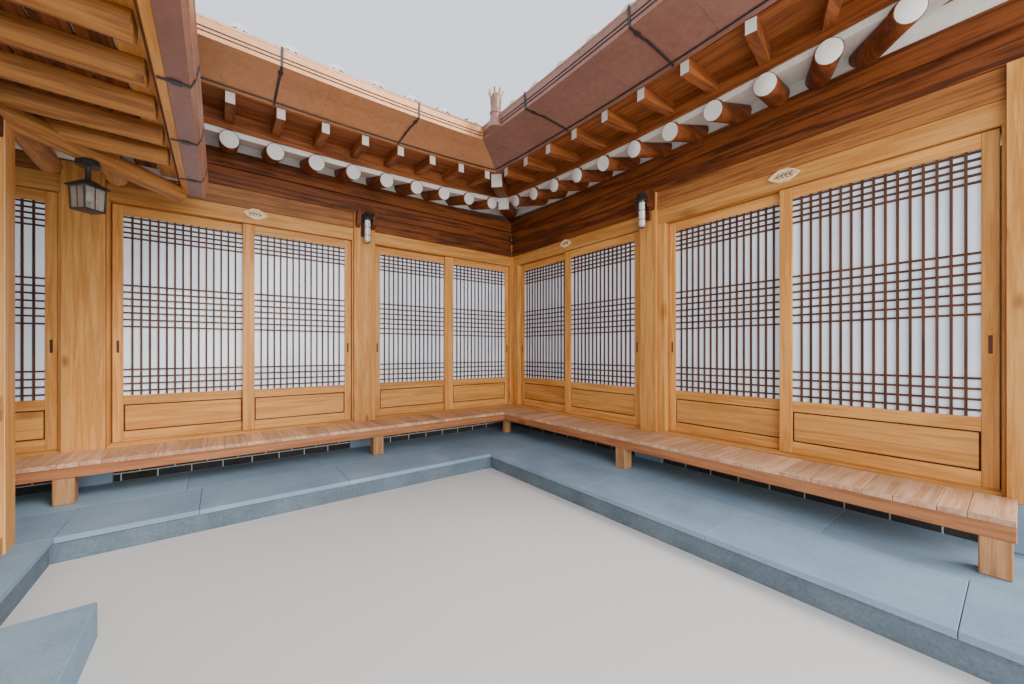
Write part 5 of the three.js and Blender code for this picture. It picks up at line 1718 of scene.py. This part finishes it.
# Ridges: stacks of flat tiles bedded in white lime along the ridge lines and down the hips, each
# topped by a row of half-round tiles, with a taller end tile where a hip stops.
TOP_LENGTH = 0.26
TOP_RADII = (0.072, 0.078)
TOP_HEIGHT = 0.055
COURSE_THICK = 0.020
CREST_WIDTH = 0.226
HIP_WIDTH = 0.210
HIP_HEIGHT = 0.135
HIP_STEPS = 8
END_STEPS = 12


def level_side(along):
    return Vector((along.y, -along.x, 0)).normalized()


def ridge_block(piece, line, half, bottom, top, finish):
    """One course of a ridge, carried along its line."""
    rings = []
    for i, point in enumerate(line):
        side = level_side(line[min(i + 1, len(line) - 1)] - line[max(i - 1, 0)])
        corners = ((-half, bottom), (half, bottom), (half, top), (-half, top))
        rings.append([point + side * a + upright(b) for a, b in corners])
    joined_rings(piece, rings, finish)


def evenly_spaced(line, length):
    """Points along a line, about one length apart."""
    total = sum((b - a).length for a, b in zip(line, line[1:]))
    count = max(1, round(total / length))
    spots = []
    for i in range(count + 1):
        left = total * i / count
        for a, b in zip(line, line[1:]):
            span = (b - a).length
            if left <= span + 1e-6:
                spots.append(a.lerp(b, min(1, left / span)))
                break
            left -= span
    return spots


def ridge_stack(piece, line, width, low, high, courses):
    """Courses of flat tile over white lime, along a line of points on the roof."""
    line = [Vector(point) for point in line]
    lime_high = high - TOP_HEIGHT
    ridge_block(piece, line, width / 2 - 0.016, low, lime_high - 0.004, 1)
    rise = (lime_high - COURSE_THICK) / courses
    for course in range(courses):
        bottom = COURSE_THICK + rise * course
        half = width / 2 - 0.002 * (course % 2)
        ridge_block(piece, line, half, bottom + rise - COURSE_THICK, bottom + rise, 0)
    spots = evenly_spaced(line, TOP_LENGTH)
    for a, b in zip(spots, spots[1:]):
        along = (b - a).normalized()
        lift = upright(lime_high)
        foot = b + along * 0.02 + lift + upright(0.004)
        half_round(piece, a + lift, foot, level_side(along), TOP_RADII)


def hip_points(corner, peak, rise, eave, lifts):
    """Points up a hip from near its corner to the ridge, along the roof's hollow curve."""
    points = []
    for i in range(HIP_STEPS + 1):
        t = 0.05 + 0.95 * i / HIP_STEPS
        x = corner[0] + (peak[0] - corner[0]) * t
        y = corner[1] + (peak[1] - corner[1]) * t
        z = eave + rise * (0.72 * t + 0.28 * t * t)
        points.append((x, y, z + (eave_lift(x, y) if lifts else 0)))
    return points


def end_tile(piece, foot, second):
    """The upright arched tile that closes the foot of a hip."""
    away = foot - second
    away.z = 0
    away = away.normalized()
    side = Vector((away.y, -away.x, 0))
    rings = []
    for out in (0.0, 0.030):
        ring = []
        for k in range(END_STEPS + 1):
            turn = math.pi * k / END_STEPS
            reach = 0.112 if k in (0, END_STEPS) else 0.098
            rise = upright(math.sin(turn) * 0.145 - 0.01)
            ring.append(foot + away * out + side * math.cos(turn) * reach + rise)
        rings.append(ring)
    joined_rings(piece, rings, 0)


MAIN = {"shape": (1.350, 3.190, True), "high": 0.21, "courses": 4}
RIDGES = {
    "ridge_back": {
        "crest": ((1.5 + 0.1, 1.5, 4.54), (-4.75, 1.5, 4.54)),
        "hips": (((-6.9, -1.28), (-4.75, 1.5)), ((-6.9, 3.65), (-4.75, 1.5)), ((3.65, 3.65), (1.5, 1.5))),
        **MAIN,
    },
    "ridge_right": {
        "crest": ((1.5, 1.38, 4.54), (1.5, -2.75, 4.54)),
        "hips": (((-1.28, -4.9), (1.5, -2.75)), ((3.65, -4.9), (1.5, -2.75))),
        **MAIN,
    },
    "ridge_left": {
        "crest": ((-5.175, -2.175, 3.30), (-5.175, -4.055, 3.30)),
        "hips": (
            ((-3.37, -0.43), (-5.175, -2.235)),
            ((-6.75, -0.43), (-5.175, -2.235)),
            ((-3.37, -5.8), (-5.175, -3.995)),
            ((-6.75, -5.8), (-5.175, -3.995)),
        ),
        "shape": (0.800, 2.500, False),
        "high": 0.17,
        "courses": 3,
    },
}
for ridge, plan in RIDGES.items():
    stack = new_piece()
    ridge_stack(stack, plan["crest"], CREST_WIDTH, -0.06, plan["high"], plan["courses"])
    for corner, peak in plan["hips"]:
        line = hip_points(corner, peak, *plan["shape"])
        ridge_stack(stack, line, HIP_WIDTH, -0.05, HIP_HEIGHT, 2)
        end_tile(stack, Vector(line[0]), Vector(line[1]))
    bmesh.ops.recalc_face_normals(stack, faces=stack.faces[:])
    finishes = [roof_clay, limewash]
    set_piece("tiles_" + ridge, stack, finishes, stands_for=[ridge], smooth=35)

# Outer eaves: plain round rafter logs half sunk in the white underside, with limewashed ends, behind a
# dark edge board under the lowest tiles. The unseen sides repeat what the yard shows.
OUTER_SLOPE = (3.560 - 3.095) / 2.15
OUTER_LOG_RADII = (0.0605, 0.0605)
OUTER_LOGS = (
    (19, lambda i, d: (2.4 - i * 0.45, 3.65 - d), 1),
    (14, lambda i, d: (3.65 - d, 2.4 - i * 0.45), 0),
    (5, lambda i, d: (-6.9 + d, 0.5 + i * 0.45), 0),
    (5, lambda i, d: (0.5 + i * 0.45, -4.9 + d), 1),
)
STRAIGHT_BOARDS = (
    ((-6.9, 3.640, 3.088), (3.65, 3.658, 3.178), 0.003, 3),
    ((3.640, -4.9, 3.088), (3.658, 3.65, 3.178), 0.003, 4),
)
LIFTED_BOARDS = (
    (lambda s, out: (-6.9 + out, s), 4),
    (lambda s, out: (s, -4.9 + out), 3),
)
LEFT_BOARDS = (
    ((-6.756, -5.80, 2.432), (-6.742, -0.43, 2.492), 0.002, 4),
    ((-6.74, -0.437, 2.432), (-3.42, -0.423, 2.492), 0.002, 3),
    ((-6.74, -5.807, 2.432), (-3.42, -5.793, 2.492), 0.002, 3),
)
BOARD_STEPS = 16
BOARD_SECTION = ((-0.008, 0), (0.010, 0), (0.010, 0.09), (-0.008, 0.09))

random.seed(23)
outer_eaves = new_piece()
for count, spot, grain in OUTER_LOGS:
    for i in range(count):
        ends = [Vector((*spot(i, d), 3.095 + d * OUTER_SLOPE - 0.018)) for d in (0.038, 1.0)]
        round_log(outer_eaves, *ends, OUTER_LOG_RADII, (grain, 2), 14, 3, 0.006)
for board in STRAIGHT_BOARDS:
    eased_box(outer_eaves, *board)
for place, finish in LIFTED_BOARDS:
    rings = []
    for k in range(BOARD_STEPS + 1):
        s = -1.24 + (3.63 + 1.24) * k / BOARD_STEPS
        z = 3.088 + eave_lift(*place(s, 0))
        rings.append([Vector((*place(s, out), z + rise)) for out, rise in BOARD_SECTION])
    joined_rings(outer_eaves, rings, finish)
for board in LEFT_BOARDS:
    eased_box(outer_eaves, *board)
bmesh.ops.recalc_face_normals(outer_eaves, faces=outer_eaves.faces[:])
outer_finishes = [round_wood["x"], round_wood["y"], limewash, dark["x"], dark["y"]]
set_piece("outer_eaves", outer_eaves, outer_finishes, smooth=40)

# Outer walls: lime plaster on a timber frame of posts, sill, rails and a plate, above a low band of the
# same black brick. Each face of the plaster lies a little behind the timbers.
WALLS = {
    "wall_north": {
        "span": (-6.262, 3.012),
        "place": lambda a, d: (a, 3.0 + d),
        "run": "x",
        "windows": (-4.9, -2.3, 1.3),
    },
    "wall_east": {
        "span": (-4.3695, 2.9695),
        "place": lambda a, d: (3.0 + d, a),
        "run": "y",
        "windows": (1.3, -1.0, -3.0),
    },
    "wall_south": {"span": (0.16, 3.012), "place": lambda a, d: (a, -4.4 - d), "run": "x", "windows": (1.5,)},
    "wall_west": {"span": (0.0, 2.9695), "place": lambda a, d: (-6.25 - d, a), "run": "y", "windows": ()},
}
POST_HALF = 0.07
WINDOW_POST = 0.67
PROUD = 0.012
SUNK = -0.03
POST_Z = (0.42, 2.84)
WALL_RAILS = ((0.40, 0.47), (1.16, 1.235), (2.165, 2.24))
WALL_PLATE = (2.84, 3.00)
BRICK_TOP = 0.3995


def wall_box(piece, place, along, out, levels, edge, finish):
    x0, y0 = place(along[0], out[0])
    x1, y1 = place(along[1], out[1])
    eased_box(piece, (x0, y0, levels[0]), (x1, y1, levels[1]), edge, finish)


for name, plan in WALLS.items():
    dress(name, plaster)
    place, run = plan["place"], plan["run"]
    start, end = plan["span"]
    timbers = new_piece()
    posts = {start + POST_HALF, end - POST_HALF}
    for window in plan["windows"]:
        posts |= {window - WINDOW_POST, window + WINDOW_POST}
    if not plan["windows"]:
        posts.add((start + end) / 2)
    posts = sorted(posts)
    for post in posts:
        span = (post - POST_HALF, post + POST_HALF)
        wall_box(timbers, place, span, (SUNK, PROUD), POST_Z, 0.004, 0)
    for rail in WALL_RAILS:
        for a, b in zip(posts, posts[1:]):
            span = (a + POST_HALF, b - POST_HALF)
            wall_box(timbers, place, span, (SUNK, PROUD - 0.003), rail, 0.003, 1)
    wall_box(timbers, place, (start, end), (SUNK, PROUD + 0.004), WALL_PLATE, 0.005, 2)
    for course in range(COURSES):
        z = PAVING + course * COURSE
        levels = (z, min(z + BRICK[1], BRICK_TOP))
        a = start - (course % 2) * 0.107
        while a < end:
            low, high = max(a, start), min(a + BRICK[0], end)
            if high - low > 0.02:
                wall_box(timbers, place, (low, high), (SUNK, PROUD - 0.002), levels, 0.0015, 3)
            a += BRICK[0] + JOINT
    wall_box(timbers, place, (start, end), (SUNK, 0.004), (PAVING, 0.399), 0, 4)
    finishes = [honey["z"], honey[run], dark[run], black_brick, mortar]
    set_piece("frame_" + name, timbers, finishes, smooth=30)

# Outer windows: a pair of papered lattice sashes in each opening, set near the inner face of the wall in
# a honey frame, with a sill that sheds water. The left wing has a smaller one toward the yard.
OUTER_SASHES = {
    "depth": -0.1503,
    "frame_s": (0.558, 0.598),
    "frame_w": (-0.149, 0.006),
    "sill_front": 0.020,
    "opening": (1.2515, 2.1485),
    "clear": (1.292, 2.108),
    "reach": 0.62,
    "outer_stile": 0.112,
    "sash": (1.20, 2.20),
    "lattice": (1.345, 2.055),
    "spaces": 7,
    "levels": (1.40, 1.46, 1.52, 1.66, 1.72, 1.78, 1.90, 1.96, 2.02),
}
LEFT_SASHES = {
    "depth": -0.1203,
    "frame_s": (0.455, 0.498),
    "frame_w": (-0.119, 0.008),
    "sill_front": 0.022,
    "opening": (1.152, 1.998),
    "clear": (1.195, 1.955),
    "reach": 0.55,
    "outer_stile": 0.135,
    "sash": (1.10, 2.05),
    "lattice": (1.24, 1.91),
    "spaces": 8,
    "levels": (1.30, 1.36, 1.42, 1.54, 1.60, 1.72, 1.78, 1.84),
}
LEFT_WINDOW = -4.2
SASH_DEPTH = 0.028
SASH_STILE = 0.05
BAR_HALF = 0.005


def sash_pair(piece, place, middle, plan):
    """A framed opening with its sill, and behind it two sashes that meet in the middle."""
    inner, outer = plan["frame_s"]
    bottom, top = plan["opening"]
    for jamb in ((middle - outer, middle - inner), (middle + inner, middle + outer)):
        wall_box(piece, place, jamb, plan["frame_w"], plan["opening"], 0.003, 0)
    span = (middle - inner, middle + inner)
    wall_box(piece, place, span, plan["frame_w"], (plan["clear"][1], top), 0.003, 1)
    sill_w = (plan["frame_w"][0], plan["sill_front"])
    wall_box(piece, place, span, sill_w, (bottom, plan["clear"][0]), 0.004, 1)

    depth = plan["depth"]
    back = depth - SASH_DEPTH
    low, high = plan["sash"]
    left = (middle - plan["reach"], middle, plan["outer_stile"], SASH_STILE)
    right = (middle, middle + plan["reach"], SASH_STILE, plan["outer_stile"])
    for s0, s1, first_stile, last_stile in (left, right):
        wall_box(piece, place, (s0, s1), (back + 0.008, depth - 0.012), plan["sash"], 0, 2)
        for stile in ((s0, s0 + first_stile), (s1 - last_stile, s1)):
            wall_box(piece, place, stile, (back, depth), plan["sash"], 0.002, 0)
        span = (s0 + SASH_STILE, s1 - SASH_STILE)
        for rail in ((low, plan["lattice"][0]), (plan["lattice"][1], high)):
            wall_box(piece, place, span, (back, depth - 0.0004), rail, 0.002, 1)
        for k in range(1, plan["spaces"]):
            at = span[0] + (s1 - s0 - 2 * SASH_STILE) * k / plan["spaces"]
            bar = (at - BAR_HALF, at + BAR_HALF)
            wall_box(piece, place, bar, (depth - 0.013, depth - 0.003), plan["lattice"], 0, 3)
        for z in plan["levels"]:
            bar = (z - BAR_HALF, z + BAR_HALF)
            wall_box(piece, place, span, (depth - 0.013, depth - 0.0045), bar, 0, 4)


def set_window(node, piece, run):
    finishes = [honey["z"], honey[run], door_paper, bar_finishes["z"], bar_finishes[run]]
    set_piece("sashes_" + node, piece, finishes, stands_for=[node], smooth=0)


def left_place(a, d):
    return LEFT_FACE + d, a


for name, plan in WALLS.items():
    if not plan["windows"]:
        continue
    window = new_piece()
    for middle in plan["windows"]:
        sash_pair(window, plan["place"], middle, OUTER_SASHES)
    set_window(name.replace("wall", "window"), window, plan["run"])
left_window = new_piece()
sash_pair(left_window, left_place, LEFT_WINDOW, LEFT_SASHES)
set_window("window_left", left_window, "y")

# Floors: planed pine boards of mixed lengths, laid side by side and pegged over a warm clay and stone
# bed, level with the door sills.
FLOOR_BOARD = {"pale": (0.50, 0.25, 0.10), "deep": (0.34, 0.145, 0.05), "knot": (0.12, 0.04, 0.02)}
BED_CLAY = ((0.30, 0.24, 0.18), (0.44, 0.36, 0.28))
floor_wood = wood_set("floor_boards", FLOOR_BOARD, "xy", gloss=0.3, tone_play=0.18)
clay = mottled_finish("floor_clay", BED_CLAY, 3.0, 40.0, 0.9, 0.003)
FLOORS = {"floor_back": "x", "floor_right": "y"}
ROW_WIDTH = 0.135
ROW_GAP = 0.0006
BOARD_LENGTHS = (1.5, 2.4)
BOARD_THICK = 0.030
random.seed(5)
for name, run in FLOORS.items():
    low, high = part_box(name)
    boards = new_piece()
    eased_box(boards, low, (high.x, high.y, high.z - 0.028), 0, 1)
    across = (low.y, high.y) if run == "x" else (low.x, high.x)
    along = (low.x, high.x) if run == "x" else (low.y, high.y)
    rows = round((across[1] - across[0]) / ROW_WIDTH)
    for row in range(rows):
        a, b = (across[0] + (across[1] - across[0]) * side / rows for side in (row, row + 1))
        a, b = a + ROW_GAP, b - ROW_GAP
        at = along[0] - random.uniform(0, 1.5)
        while at < along[1]:
            reach = at + random.uniform(*BOARD_LENGTHS)
            s0, s1 = max(at, along[0]), min(reach, along[1])
            if s1 - s0 > 0.02:
                start, end = ((s0, a), (s1, b)) if run == "x" else ((a, s0), (b, s1))
                eased_box(boards, (*start, high.z - BOARD_THICK), (*end, high.z), 0.001, 0)
            at = reach + 0.001
    finishes = [floor_wood[run], clay]
    set_piece("boards_" + name, boards, finishes, stands_for=[name], smooth=30)
